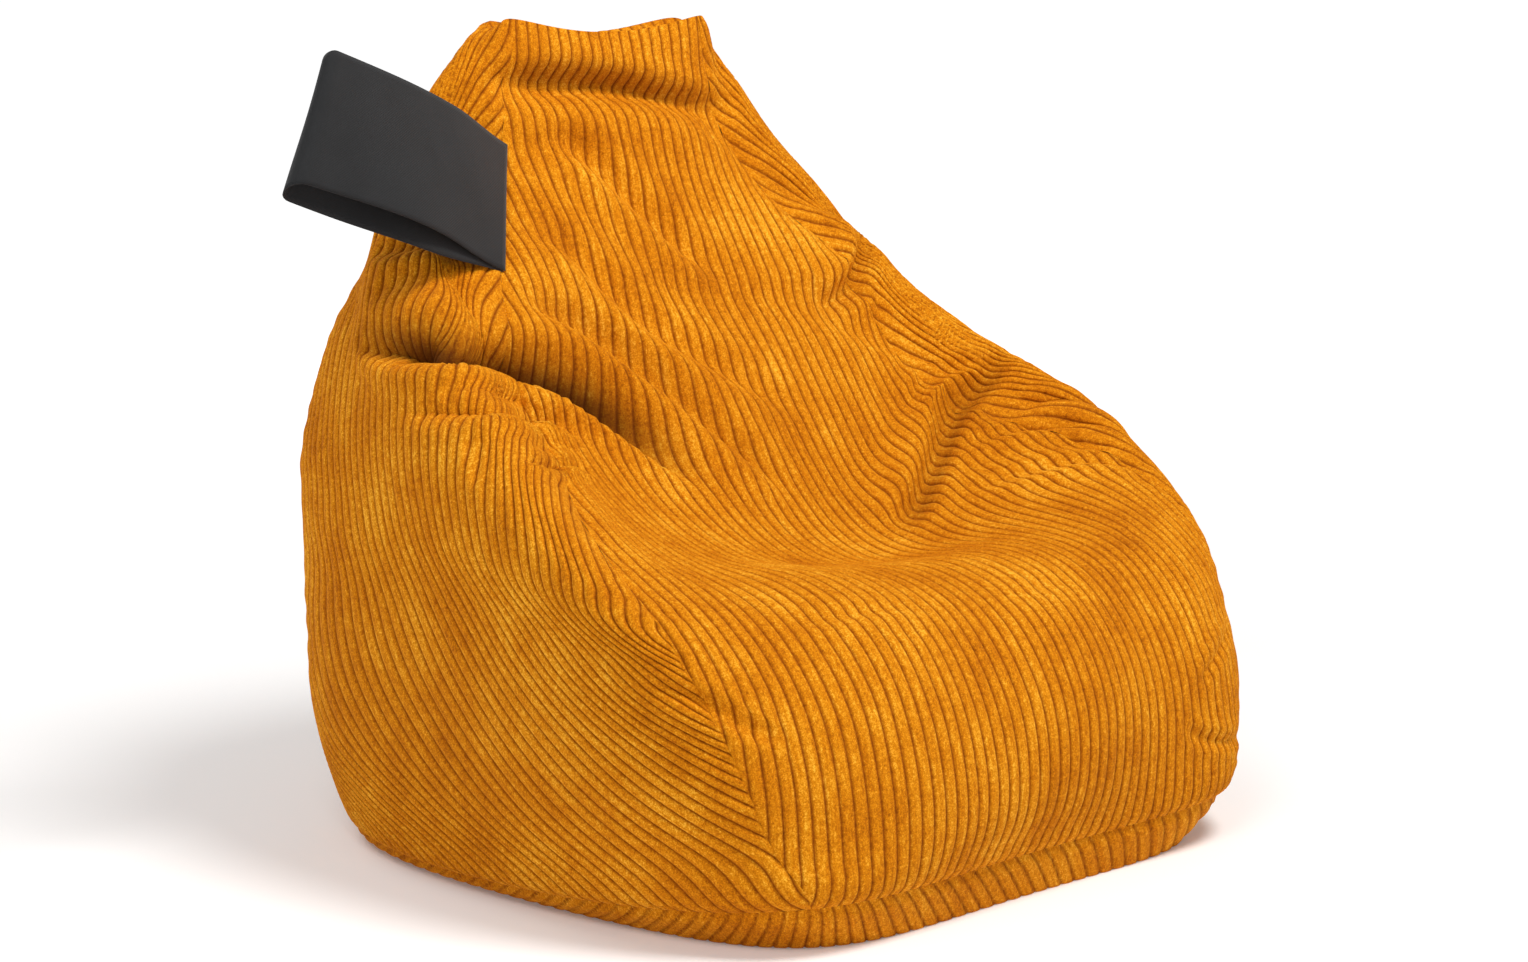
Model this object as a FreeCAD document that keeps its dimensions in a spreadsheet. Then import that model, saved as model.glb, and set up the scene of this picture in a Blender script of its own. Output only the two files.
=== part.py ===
import FreeCAD, Part
import math
import os

# A teardrop bean bag chair. Four corduroy gores, a small top panel and a base panel make the
# cover; inside it hangs a liner that holds the bead filling. A coil zip lies in the back right
# seam and a blank folded label is sewn into the front left seam.
# Frame: +Z up, the chair faces -Y, origin on the floor under the middle of the base.

doc = FreeCAD.newDocument("bean_bag_chair")
sheet = doc.addObject("Spreadsheet::Sheet", "Dimensions")

# ---------------------------------------------------------------- driving dimensions, mm
# The outside of the cover is drawn through rings, one per station from the floor to the top.
# Each ring has eight control points at 45 degree steps; the left half mirrors the right half.
STATION_COLUMNS = (
    "front_y", "front_z",
    "fseam_x", "fseam_y", "fseam_z",
    "side_x", "side_y", "side_z",
    "bseam_x", "bseam_y", "bseam_z",
    "back_y", "back_z",
)
STATIONS = {
    "foot":     (-358,   0,   275, -328,   0,   352,  -5,   0,   280, 290,   0,   305,   0),
    "base":     (-368,  42,   298, -358,  44,   378, -15,  16,   292, 298,  20,   324,  24),
    "low":      (-392,  92,   330, -352,  92,   396, -15,  90,   314, 320,  95,   358,  95),
    "girth":    (-394, 155,   352, -335, 155,   404, -10, 175,   323, 333, 185,   380, 185),
    "swell":    (-376, 215,   370, -300, 232,   404,   0, 268,   324, 334, 285,   386, 285),
    "lip":      (-312, 274,   384, -254, 300,   398,  25, 360,   323, 333, 385,   385, 385),
    "seat":     (-215, 296,   374, -182, 348,   386,  60, 438,   309, 332, 455,   380, 465),
    "hollow":   (-125, 287,   338,  -92, 384,   362, 100, 500,   287, 328, 520,   372, 535),
    "lumbar":   ( -20, 335,   293,   12, 418,   330, 145, 560,   252, 320, 585,   360, 605),
    "back":     (  70, 450,   272,   84, 482,   294, 190, 622,   225, 308, 652,   342, 672),
    "shoulder": ( 150, 572,   234,  138, 578,   258, 225, 685,   193, 292, 712,   322, 728),
    "neck":     ( 205, 685,   166,  212, 682,   206, 245, 752,   158, 277, 770,   300, 780),
    "top":      ( 226, 808,   130,  226, 824,   146, 248, 816,   126, 272, 822,   280, 808),
}

SIZES = {
    # cover, liner and filling
    "cover_thickness": 3.2,
    "seam_gap": 0.5,
    "binding_width": 24.0,
    "binding_thickness": 0.7,
    "binding_end_gap": 7.0,
    "binding_top_gap": 2.0,
    "binding_depth": 4.6,
    "liner_depth": 7.6,
    "liner_thickness": 0.8,
    "filling_depth": 9.4,
    "shoulder_drop": 45.0,
    "inner_top_z": 796.0,
    # folded label in the front left seam
    "label_length": 272.0,
    "label_width": 130.0,
    "label_root_width": 154.0,
    "label_thickness": 6.0,
    "label_clearance": 3.0,
    "label_low_z": 578.0,
    "label_bow": 14.0,
    "label_rise": 90.0,
    "label_lean": 43.0,
    # sewn-on care label
    "care_width": 42.0,
    "care_height": 34.0,
    "care_thickness": 0.8,
    "care_gap": 0.6,
    "care_low_z": 96.0,
    # zip: sizes across the seam, along it and outward from the cover
    "zip_middle_z": 285.0,
    "zip_length": 230.0,
    "zip_split": 0.6,
    "tape_width": 12.4,
    "tape_low": 1.8,
    "tape_thickness": 0.8,
    "tape_overhang": 12.0,
    "coil_width": 2.6,
    "coil_height": 2.2,
    "stop_length": 3.0,
    "stop_gap": 0.3,
    "slider_length": 11.0,
    "slider_width": 8.4,
    "slider_low": 0.5,
    "slider_plate": 0.9,
    "slider_web": 0.6,
    "slider_top_low": 5.1,
    "slider_top_plate": 1.4,
    "slider_end_gap": 2.0,
    "bridge_width": 2.0,
    "bridge_length": 8.0,
    "bridge_height": 3.4,
    "bridge_bar": 1.1,
    "pull_pin_radius": 0.6,
    "pull_eye_gap": 0.5,
    "pull_arm": 1.0,
    "pull_tab_length": 24.0,
    "pull_tab_thickness": 1.2,
}


def fill_sheet():
    """Write every driving dimension into its own named cell."""
    row = 1
    for station, numbers in STATIONS.items():
        for column, number in zip(STATION_COLUMNS, numbers):
            sheet.set("A%d" % row, "%s_%s" % (station, column))
            sheet.set("B%d" % row, str(number))
            sheet.setAlias("B%d" % row, "%s_%s" % (station, column))
            row += 1
    for name, number in SIZES.items():
        sheet.set("A%d" % row, name)
        sheet.set("B%d" % row, str(number))
        sheet.setAlias("B%d" % row, name)
        row += 1
    doc.recompute()


def size(name):
    return float(sheet.get(name))


fill_sheet()

# ---------------------------------------------------------------- the surface of the cover
STEPS = 8
FRONT, FRONT_LEFT, LEFT, BACK_LEFT, BACK, BACK_RIGHT, RIGHT, FRONT_RIGHT = range(STEPS)
STEP_ANGLE = 2 * math.pi / STEPS
SMALL = 1e-4


def vector(x, y, z):
    return FreeCAD.Vector(x, y, z)


def station_controls(station):
    """The eight control points of one ring, from the front round by the left."""
    def cell(column):
        return size("%s_%s" % (station, column))

    front = vector(0, cell("front_y"), cell("front_z"))
    back = vector(0, cell("back_y"), cell("back_z"))
    right = [
        vector(cell(part + "_x"), cell(part + "_y"), cell(part + "_z"))
        for part in ("fseam", "side", "bseam")
    ]
    left = [vector(-point.x, point.y, point.z) for point in right]
    return [front] + left + [back] + right[::-1]


RINGS = [station_controls(station) for station in STATIONS]


def station_heights():
    """Distance of each ring from the first, along the cover, as the mean of the eight lines."""
    heights = [0.0]
    for lower, upper in zip(RINGS, RINGS[1:]):
        steps = [(b - a).Length for a, b in zip(lower, upper)]
        heights.append(heights[-1] + sum(steps) / STEPS)
    return heights


HEIGHTS = station_heights()
BASE_HEIGHT = HEIGHTS[1]
TOP_HEIGHT = HEIGHTS[-1]


def natural_spline(knots, points):
    """Second derivatives of the natural cubic spline through the points."""
    count = len(knots)
    gaps = [b - a for a, b in zip(knots, knots[1:])]
    diagonal = [1.0] * count
    right_side = [vector(0, 0, 0)] * count
    for i in range(1, count - 1):
        slope_before = (points[i] - points[i - 1]) * (1 / gaps[i - 1])
        slope_after = (points[i + 1] - points[i]) * (1 / gaps[i])
        factor = gaps[i - 1] / diagonal[i - 1] if i > 1 else 0.0
        diagonal[i] = 2 * (gaps[i - 1] + gaps[i]) - factor * gaps[i - 1]
        right_side[i] = (slope_after - slope_before) * 6 - right_side[i - 1] * factor
    bends = [vector(0, 0, 0)] * count
    for i in range(count - 2, 0, -1):
        bends[i] = (right_side[i] - bends[i + 1] * gaps[i]) * (1 / diagonal[i])
    return bends


CONTROL_LINES = [[ring[k] for ring in RINGS] for k in range(STEPS)]
CONTROL_BENDS = [natural_spline(HEIGHTS, line) for line in CONTROL_LINES]


def control_point(k, height):
    """A point on one of the eight lines that run up the cover."""
    i = 0
    while i < len(HEIGHTS) - 2 and height > HEIGHTS[i + 1]:
        i += 1
    gap = HEIGHTS[i + 1] - HEIGHTS[i]
    above = height - HEIGHTS[i]
    below = gap - above
    line = CONTROL_LINES[k]
    bends = CONTROL_BENDS[k]
    point = bends[i] * (below ** 3 / (6 * gap))
    point += bends[i + 1] * (above ** 3 / (6 * gap))
    point += (line[i] * (1 / gap) - bends[i] * (gap / 6)) * below
    point += (line[i + 1] * (1 / gap) - bends[i + 1] * (gap / 6)) * above
    return point


def ring_weight(angle):
    """1 at its own control point, 0 at the other seven, smooth between."""
    if abs(math.sin(angle / 2)) < 1e-9:
        return 1.0
    return math.sin(STEPS / 2 * angle) / (STEPS * math.tan(angle / 2))


def cover_point(height, angle):
    point = vector(0, 0, 0)
    for k in range(STEPS):
        point += control_point(k, height) * ring_weight(angle - k * STEP_ANGLE)
    return point


def around(height, angle):
    """Distance covered per radian round the ring."""
    return (cover_point(height, angle + SMALL) - cover_point(height, angle - SMALL)) * (0.5 / SMALL)


def outward(height, angle):
    """Unit normal of the cover, pointing out."""
    low = max(height - 0.5, 0.0)
    high = min(height + 0.5, TOP_HEIGHT)
    up = cover_point(high, angle) - cover_point(low, angle)
    normal = up.cross(around(height, angle))
    return normal.normalize()


def inset_point(height, angle, depth):
    return cover_point(height, angle) - outward(height, angle) * depth


def height_at(angle, z):
    """Height along the cover at which the line at this angle reaches z."""
    low = BASE_HEIGHT
    high = TOP_HEIGHT
    for _ in range(40):
        middle = (low + high) / 2
        if cover_point(middle, angle).z < z:
            low = middle
        else:
            high = middle
    return (low + high) / 2


# ---------------------------------------------------------------- solids from grids and rings
def grid_surface(grid):
    surface = Part.BSplineSurface()
    surface.interpolate(grid)
    return surface


def edge_curves(surface):
    low_u, high_u, low_v, high_v = surface.bounds()
    return [
        surface.uIso(low_u).toShape(),
        surface.uIso(high_u).toShape(),
        surface.vIso(low_v).toShape(),
        surface.vIso(high_v).toShape(),
    ]


def closed_solid(faces):
    shell = Part.makeShell(faces)
    shell.sewShape()
    solid = Part.makeSolid(Part.Shell(shell.Faces))
    if solid.Volume < 0:
        solid.reverse()
    return solid


def sheet_solid(outer_grid, inner_grid):
    """A thin solid between two grids of points, closed by four ruled edges."""
    outer = grid_surface(outer_grid)
    inner = grid_surface(inner_grid)
    faces = [outer.toShape(), inner.toShape()]
    for outer_edge, inner_edge in zip(edge_curves(outer), edge_curves(inner)):
        faces.append(Part.makeRuledSurface(outer_edge, inner_edge))
    return closed_solid(faces)


def closed_curve(points):
    curve = Part.BSplineCurve()
    curve.interpolate(Points=points, PeriodicFlag=True)
    return Part.Wire([curve.toShape()])


def spread(start, end, count):
    return [start + (end - start) * i / count for i in range(count + 1)]


RING_POINTS = 32
ROWS = 30
COLUMNS = 14
BINDING_COLUMNS = 6


def ring_points(height, depth):
    return [inset_point(height, 2 * math.pi * i / RING_POINTS, depth) for i in range(RING_POINTS)]


def flattened(points, z):
    return [vector(point.x, point.y, z) for point in points]


# ---------------------------------------------------------------- adding sub-parts
def add_shape(label, shape):
    """A free-form sub-part, with its shape set here and its placement at the origin."""
    feature = doc.addObject("Part::Feature", label)
    feature.Shape = shape
    feature.Placement = FreeCAD.Placement()
    feature.Label = label
    return feature


# ---------------------------------------------------------------- cover panels
def gore(middle_control):
    """One side of the cover, from the base seam to the top seam between two corner seams."""
    seam_gap = size("seam_gap")
    start = (middle_control - 1) * STEP_ANGLE
    end = (middle_control + 1) * STEP_ANGLE
    outer_grid = []
    inner_grid = []
    for height in spread(BASE_HEIGHT + seam_gap, TOP_HEIGHT, ROWS):
        first = start + seam_gap / 2 / around(height, start).Length
        last = end - seam_gap / 2 / around(height, end).Length
        angles = spread(first, last, COLUMNS)
        outer_grid.append([cover_point(height, angle) for angle in angles])
        inner_grid.append([inset_point(height, angle, size("cover_thickness")) for angle in angles])
    return sheet_solid(outer_grid, inner_grid)


def base_panel():
    """A shallow tray: flat where it rests on the floor, with a rim that rises to the base seam."""
    thickness = size("cover_thickness")
    rim_heights = spread(0.0, BASE_HEIGHT - size("seam_gap"), 3)
    outer_rings = [ring_points(height, 0.0) for height in rim_heights]
    inner_rings = [ring_points(height, thickness) for height in rim_heights]
    inner_rings[0] = flattened(inner_rings[0], thickness)
    outer_wires = [closed_curve(ring) for ring in outer_rings]
    inner_wires = [closed_curve(ring) for ring in inner_rings]
    outer_rim = Part.makeLoft(outer_wires, False, False)
    inner_rim = Part.makeLoft(inner_wires, False, False)
    lip = Part.makeRuledSurface(outer_wires[-1].Edges[0], inner_wires[-1].Edges[0])
    faces = outer_rim.Faces + inner_rim.Faces
    faces += [lip, Part.Face(outer_wires[0]), Part.Face(inner_wires[0])]
    return closed_solid(faces)


def arc_between(control, next_control, depth, count):
    """Points along the top ring from one corner seam to the next."""
    angles = spread(control * STEP_ANGLE, next_control * STEP_ANGLE, count)
    return [inset_point(TOP_HEIGHT, angle, depth) for angle in angles]


def top_panel():
    """The small end panel between the four top edges, sagging a little like they do."""
    depth = size("cover_thickness") + size("seam_gap")
    across = 8
    along = 4
    front = arc_between(FRONT_LEFT, -FRONT_LEFT, depth, across)
    back = arc_between(BACK_LEFT, BACK_RIGHT, depth, across)
    left = arc_between(FRONT_LEFT, BACK_LEFT, depth, along)
    right = arc_between(-FRONT_LEFT, BACK_RIGHT - STEPS, depth, along)
    grid = []
    for i in range(along + 1):
        v = i / along
        row = []
        for j in range(across + 1):
            u = j / across
            ruled = front[j] * (1 - v) + back[j] * v + left[i] * (1 - u) + right[i] * u
            corners = (front[0] * (1 - u) + front[-1] * u) * (1 - v)
            corners += (back[0] * (1 - u) + back[-1] * u) * v
            row.append(ruled - corners)
        grid.append(row)
    drop = vector(0, 0, size("cover_thickness"))
    return sheet_solid(grid, [[point - drop for point in row] for row in grid])


# ---------------------------------------------------------------- seam bindings
def corner_binding(control):
    """Tape sewn along the inside of a corner seam."""
    half_width = size("binding_width") / 2
    depth = size("binding_depth")
    seam = control * STEP_ANGLE
    margin = size("binding_width")
    outer_grid = []
    inner_grid = []
    for height in spread(BASE_HEIGHT + margin, TOP_HEIGHT - margin, ROWS):
        reach = half_width / around(height, seam).Length
        angles = spread(seam - reach, seam + reach, BINDING_COLUMNS)
        outer_grid.append([inset_point(height, angle, depth) for angle in angles])
        inner = depth + size("binding_thickness")
        inner_grid.append([inset_point(height, angle, inner) for angle in angles])
    return sheet_solid(outer_grid, inner_grid)


def ring_binding(low, high):
    """Tape sewn round the inside of the cover between two heights."""
    depth = size("binding_depth")
    inner_depth = depth + size("binding_thickness")
    heights = spread(low, high, 2)
    outer_wires = [closed_curve(ring_points(height, depth)) for height in heights]
    inner_wires = [closed_curve(ring_points(height, inner_depth)) for height in heights]
    faces = Part.makeLoft(outer_wires, False, False).Faces
    faces += Part.makeLoft(inner_wires, False, False).Faces
    for i in (0, -1):
        faces.append(Part.makeRuledSurface(outer_wires[i].Edges[0], inner_wires[i].Edges[0]))
    return closed_solid(faces)


TOP_BINDING_END = TOP_HEIGHT - size("cover_thickness") - size("binding_end_gap")


# ---------------------------------------------------------------- liner and filling
def inner_solid(depth):
    """The space inside the cover at a given depth, flat at its foot and at its top."""
    wires = [closed_curve(flattened(ring_points(0.0, depth), depth))]
    for height in spread(BASE_HEIGHT / 2, TOP_HEIGHT - size("shoulder_drop"), ROWS):
        wires.append(closed_curve(ring_points(height, depth)))
    top_z = size("inner_top_z") - depth
    wires.append(closed_curve(flattened(ring_points(TOP_HEIGHT, depth), top_z)))
    return Part.makeLoft(wires, True, False)


def inner_liner():
    """A closed bag of thin cloth: an outer skin and, just inside it, an inner skin."""
    depth = size("liner_depth")
    outer_skin = inner_solid(depth).Shells[0]
    inner_skin = inner_solid(depth + size("liner_thickness")).Shells[0]
    return Part.makeSolid(Part.makeCompound([outer_skin, inner_skin.reversed()]))


# ---------------------------------------------------------------- labels
def label_section(share):
    """Lower and upper edge of the folded label at a share of its length from the seam."""
    seam = FRONT_LEFT * STEP_ANGLE
    low_height = height_at(seam, size("label_low_z"))
    climb = (cover_point(low_height + 1, seam) - cover_point(low_height, seam)).Length
    high_height = low_height + size("label_root_width") / climb
    root_offset = size("label_clearance") + size("label_thickness") / 2
    low_root = inset_point(low_height, seam, -root_offset)
    high_root = inset_point(high_height, seam, -root_offset)
    reach = math.sqrt(size("label_length") ** 2 - size("label_rise") ** 2)
    bow = vector(0, -size("label_bow") * math.sin(math.pi * share), 0)
    low = low_root + vector(-reach, 0, size("label_rise")) * share + bow
    # the free end stands up straighter than the seam that it leaves
    end_edge = vector(size("label_lean"), 0, 0)
    end_edge.z = math.sqrt(size("label_width") ** 2 - size("label_lean") ** 2)
    edge = (high_root - low_root) * (1 - share) + end_edge * share
    return low, low + edge


def side_label():
    """The folded label as one plain slab, standing out from the front left seam."""
    half = size("label_thickness") / 2
    outer_grid = []
    inner_grid = []
    for share in spread(0.0, 1.0, 6):
        low, high = label_section(share)
        along = label_section(share + SMALL)[0] - label_section(share - SMALL)[0]
        face = along.cross(high - low).normalize()
        middle = [low + (high - low) * part for part in spread(0.0, 1.0, 3)]
        outer_grid.append([point + face * half for point in middle])
        inner_grid.append([point - face * half for point in middle])
    return sheet_solid(outer_grid, inner_grid)


def care_label():
    """A blank care label sewn flat onto the right panel beside the back right seam."""
    seam = BACK_RIGHT * STEP_ANGLE
    near = size("seam_gap") + size("care_gap")
    low_height = height_at(seam, size("care_low_z"))
    outer_grid = []
    inner_grid = []
    for height in spread(low_height, low_height + size("care_height"), 3):
        start = seam + near / around(height, seam).Length
        end = start + size("care_width") / around(height, start).Length
        angles = spread(start, end, 3)
        gap = size("care_gap")
        inner_grid.append([inset_point(height, angle, -gap) for angle in angles])
        top = gap + size("care_thickness")
        outer_grid.append([inset_point(height, angle, -top) for angle in angles])
    return sheet_solid(outer_grid, inner_grid)


# ---------------------------------------------------------------- zip
# The zip is built upright: X across the seam, Y outward from the cover, Z along the seam.
# zip_place() then stands it on the back right seam.
def zip_place():
    angle = BACK_RIGHT * STEP_ANGLE
    height = height_at(angle, size("zip_middle_z"))
    foot = cover_point(height, angle)
    normal = outward(height, angle)
    turn = math.degrees(math.atan2(normal.y, normal.x)) - 90
    origin = vector(foot.x, foot.y, size("zip_middle_z"))
    return FreeCAD.Placement(origin, FreeCAD.Rotation(vector(0, 0, 1), turn))


ZIP = zip_place()


def bound_box(name, length, width, height, x, y, z):
    """A box whose sizes and corner are bound to expressions on the sheet."""
    box = doc.addObject("Part::Box", name)
    box.setExpression("Length", length)
    box.setExpression("Width", width)
    box.setExpression("Height", height)
    box.setExpression("Placement.Base.x", x)
    box.setExpression("Placement.Base.y", y)
    box.setExpression("Placement.Base.z", z)
    return box


def fused(label, pieces):
    """Sub-part made of several boxes joined together."""
    join = doc.addObject("Part::MultiFuse", label)
    join.Shapes = pieces
    join.Label = label
    join.Placement = ZIP
    return join


def grouped(label, pieces):
    """Sub-part made of separate identical pieces."""
    group = doc.addObject("Part::Compound", label)
    group.Links = pieces
    group.Label = label
    group.Placement = ZIP
    return group


def mirrored_x(width, side):
    """Expression for the low X of a strip on one side of the split."""
    near = "Dimensions.zip_split"
    if side > 0:
        return near
    return "-(%s) - %s" % (near, width)


def zip_tape(label, side):
    tape = bound_box(
        label + "_strip",
        "Dimensions.tape_width",
        "Dimensions.tape_thickness",
        "Dimensions.zip_length + 2 * Dimensions.tape_overhang",
        mirrored_x("Dimensions.tape_width", side),
        "Dimensions.tape_low",
        "-Dimensions.zip_length / 2 - Dimensions.tape_overhang",
    )
    return grouped(label, [tape])


COIL_LOW = "Dimensions.tape_low + Dimensions.tape_thickness"


def zip_coil(label, side):
    coil = bound_box(
        label + "_bar",
        "Dimensions.coil_width",
        "Dimensions.coil_height",
        "Dimensions.zip_length",
        mirrored_x("Dimensions.coil_width", side),
        COIL_LOW,
        "-Dimensions.zip_length / 2",
    )
    return grouped(label, [coil])


def zip_top_stops():
    stops = []
    for side, name in ((-1, "zip_top_stop_near"), (1, "zip_top_stop_far")):
        stops.append(bound_box(
            name,
            "Dimensions.coil_width",
            "Dimensions.coil_height",
            "Dimensions.stop_length",
            mirrored_x("Dimensions.coil_width", side),
            COIL_LOW,
            "Dimensions.zip_length / 2 + Dimensions.stop_gap",
        ))
    return grouped("zip_top_stops", stops)


def zip_bottom_stop():
    stop = bound_box(
        "zip_bottom_stop_bar",
        "2 * (Dimensions.zip_split + Dimensions.coil_width)",
        "Dimensions.coil_height",
        "Dimensions.stop_length",
        "-Dimensions.zip_split - Dimensions.coil_width",
        COIL_LOW,
        "-Dimensions.zip_length / 2 - Dimensions.stop_gap - Dimensions.stop_length",
    )
    return grouped("zip_bottom_stop", [stop])


SLIDER_LOW_Z = "Dimensions.zip_length / 2 - Dimensions.slider_end_gap - Dimensions.slider_length"
SLIDER_TOP = "Dimensions.slider_top_low + Dimensions.slider_top_plate"
BRIDGE_LOW_Z = "%s + (Dimensions.slider_length - Dimensions.bridge_length) / 2" % SLIDER_LOW_Z


def zip_slider():
    """Two plates joined by a thin web that runs between the coils, with a bridge for the pull."""
    bottom = bound_box(
        "slider_bottom_plate",
        "Dimensions.slider_width",
        "Dimensions.slider_plate",
        "Dimensions.slider_length",
        "-Dimensions.slider_width / 2",
        "Dimensions.slider_low",
        SLIDER_LOW_Z,
    )
    top = bound_box(
        "slider_top_plate_body",
        "Dimensions.slider_width",
        "Dimensions.slider_top_plate",
        "Dimensions.slider_length",
        "-Dimensions.slider_width / 2",
        "Dimensions.slider_top_low",
        SLIDER_LOW_Z,
    )
    web = bound_box(
        "slider_web_plate",
        "Dimensions.slider_web",
        "Dimensions.slider_top_low - Dimensions.slider_low",
        "Dimensions.slider_length",
        "-Dimensions.slider_web / 2",
        "Dimensions.slider_low",
        SLIDER_LOW_Z,
    )
    bar = bound_box(
        "slider_bridge_bar",
        "Dimensions.bridge_width",
        "Dimensions.bridge_bar",
        "Dimensions.bridge_length",
        "-Dimensions.bridge_width / 2",
        "%s + Dimensions.bridge_height - Dimensions.bridge_bar" % SLIDER_TOP,
        BRIDGE_LOW_Z,
    )
    posts = []
    for name, z in (
        ("slider_bridge_low_post", BRIDGE_LOW_Z),
        ("slider_bridge_high_post",
         "%s + Dimensions.bridge_length - Dimensions.bridge_bar" % BRIDGE_LOW_Z),
    ):
        posts.append(bound_box(
            name,
            "Dimensions.bridge_width",
            "Dimensions.bridge_height",
            "Dimensions.bridge_bar",
            "-Dimensions.bridge_width / 2",
            SLIDER_TOP,
            z,
        ))
    return fused("zip_slider", [bottom, top, web, bar] + posts)


PULL_PIN_Y = "%s + (Dimensions.bridge_height - Dimensions.bridge_bar) / 2" % SLIDER_TOP
PULL_PIN_Z = "%s + Dimensions.slider_length / 2" % SLIDER_LOW_Z
PULL_HALF = "(Dimensions.bridge_width / 2 + Dimensions.pull_eye_gap + Dimensions.pull_arm)"
ARM_LENGTH = "(Dimensions.slider_length / 2 + 1)"


def zip_pull():
    """A pin through the bridge, two arms beside it and a flat tab that hangs down."""
    pin = doc.addObject("Part::Cylinder", "pull_pin")
    pin.setExpression("Radius", "Dimensions.pull_pin_radius")
    pin.setExpression("Height", "2 * %s" % PULL_HALF)
    pin.Placement = FreeCAD.Placement(vector(0, 0, 0), FreeCAD.Rotation(vector(0, 1, 0), 90))
    pin.setExpression("Placement.Base.x", "-%s" % PULL_HALF)
    pin.setExpression("Placement.Base.y", PULL_PIN_Y)
    pin.setExpression("Placement.Base.z", PULL_PIN_Z)
    tab_low_y = "%s - Dimensions.pull_tab_thickness / 2" % PULL_PIN_Y
    arms = []
    for name, x in (
        ("pull_arm_near", "-%s" % PULL_HALF),
        ("pull_arm_far", "%s - Dimensions.pull_arm" % PULL_HALF),
    ):
        arms.append(bound_box(
            name,
            "Dimensions.pull_arm",
            "Dimensions.pull_tab_thickness",
            "%s + Dimensions.pull_pin_radius" % ARM_LENGTH,
            x,
            tab_low_y,
            "%s - %s" % (PULL_PIN_Z, ARM_LENGTH),
        ))
    tab = bound_box(
        "pull_tab",
        "2 * %s" % PULL_HALF,
        "Dimensions.pull_tab_thickness",
        "Dimensions.pull_tab_length",
        "-%s" % PULL_HALF,
        tab_low_y,
        "%s - %s - Dimensions.pull_tab_length" % (PULL_PIN_Z, ARM_LENGTH),
    )
    return fused("zip_pull", [pin, tab] + arms)


# ---------------------------------------------------------------- the assembly
parts = [
    add_shape("front_panel", gore(FRONT)),
    add_shape("left_panel", gore(LEFT)),
    add_shape("back_panel", gore(BACK)),
    add_shape("right_panel", gore(RIGHT)),
    add_shape("base_panel", base_panel()),
    add_shape("top_panel", top_panel()),
    add_shape("seam_binding_front_left", corner_binding(FRONT_LEFT)),
    add_shape("seam_binding_back_left", corner_binding(BACK_LEFT)),
    add_shape("seam_binding_back_right", corner_binding(BACK_RIGHT)),
    add_shape("seam_binding_front_right", corner_binding(FRONT_RIGHT)),
    add_shape("seam_binding_base", ring_binding(BASE_HEIGHT / 3, BASE_HEIGHT + size("seam_gap"))),
    add_shape(
        "seam_binding_top",
        ring_binding(TOP_HEIGHT - size("binding_width") + size("binding_top_gap"), TOP_BINDING_END),
    ),
    add_shape("inner_liner", inner_liner()),
    add_shape("bean_filling", inner_solid(size("filling_depth"))),
    add_shape("side_label", side_label()),
    add_shape("care_label", care_label()),
    zip_tape("zip_tape_back", -1),
    zip_tape("zip_tape_side", 1),
    zip_coil("zip_coil_back", -1),
    zip_coil("zip_coil_side", 1),
    zip_top_stops(),
    zip_bottom_stop(),
    zip_slider(),
    zip_pull(),
]

doc.recompute()

for obj in doc.Objects:
    if "Invalid" in obj.State or "Error" in obj.State:
        raise RuntimeError("%s did not recompute: %s" % (obj.Name, obj.State))
for part in parts:
    if part.Shape.isNull() or not part.Shape.isValid():
        raise RuntimeError("%s has no valid shape" % part.Label)

os.makedirs("parts", exist_ok=True)
for part in parts:
    part.Shape.exportStep("parts/%s.step" % part.Label)
    box = part.Shape.BoundBox
    print("%-26s %10.1f cm3  solids %d  x %7.1f %7.1f  y %7.1f %7.1f  z %7.1f %7.1f" % (
        part.Label, part.Shape.Volume / 1000, len(part.Shape.Solids),
        box.XMin, box.XMax, box.YMin, box.YMax, box.ZMin, box.ZMax,
    ))

# where the joints turn and slide
slider_middle = size("zip_length") / 2 - size("slider_end_gap") - size("slider_length") / 2
pin_out = size("slider_top_low") + size("slider_top_plate")
pin_out += (size("bridge_height") - size("bridge_bar")) / 2
print("zip pull pin", ZIP.multVec(vector(0, pin_out, slider_middle)))
print("zip pull axis", ZIP.Rotation.multVec(vector(1, 0, 0)))
label_low, label_high = label_section(0.0)
print("label root", (label_low + label_high) * 0.5, "axis", (label_high - label_low).normalize())
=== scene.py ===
import math

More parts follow.
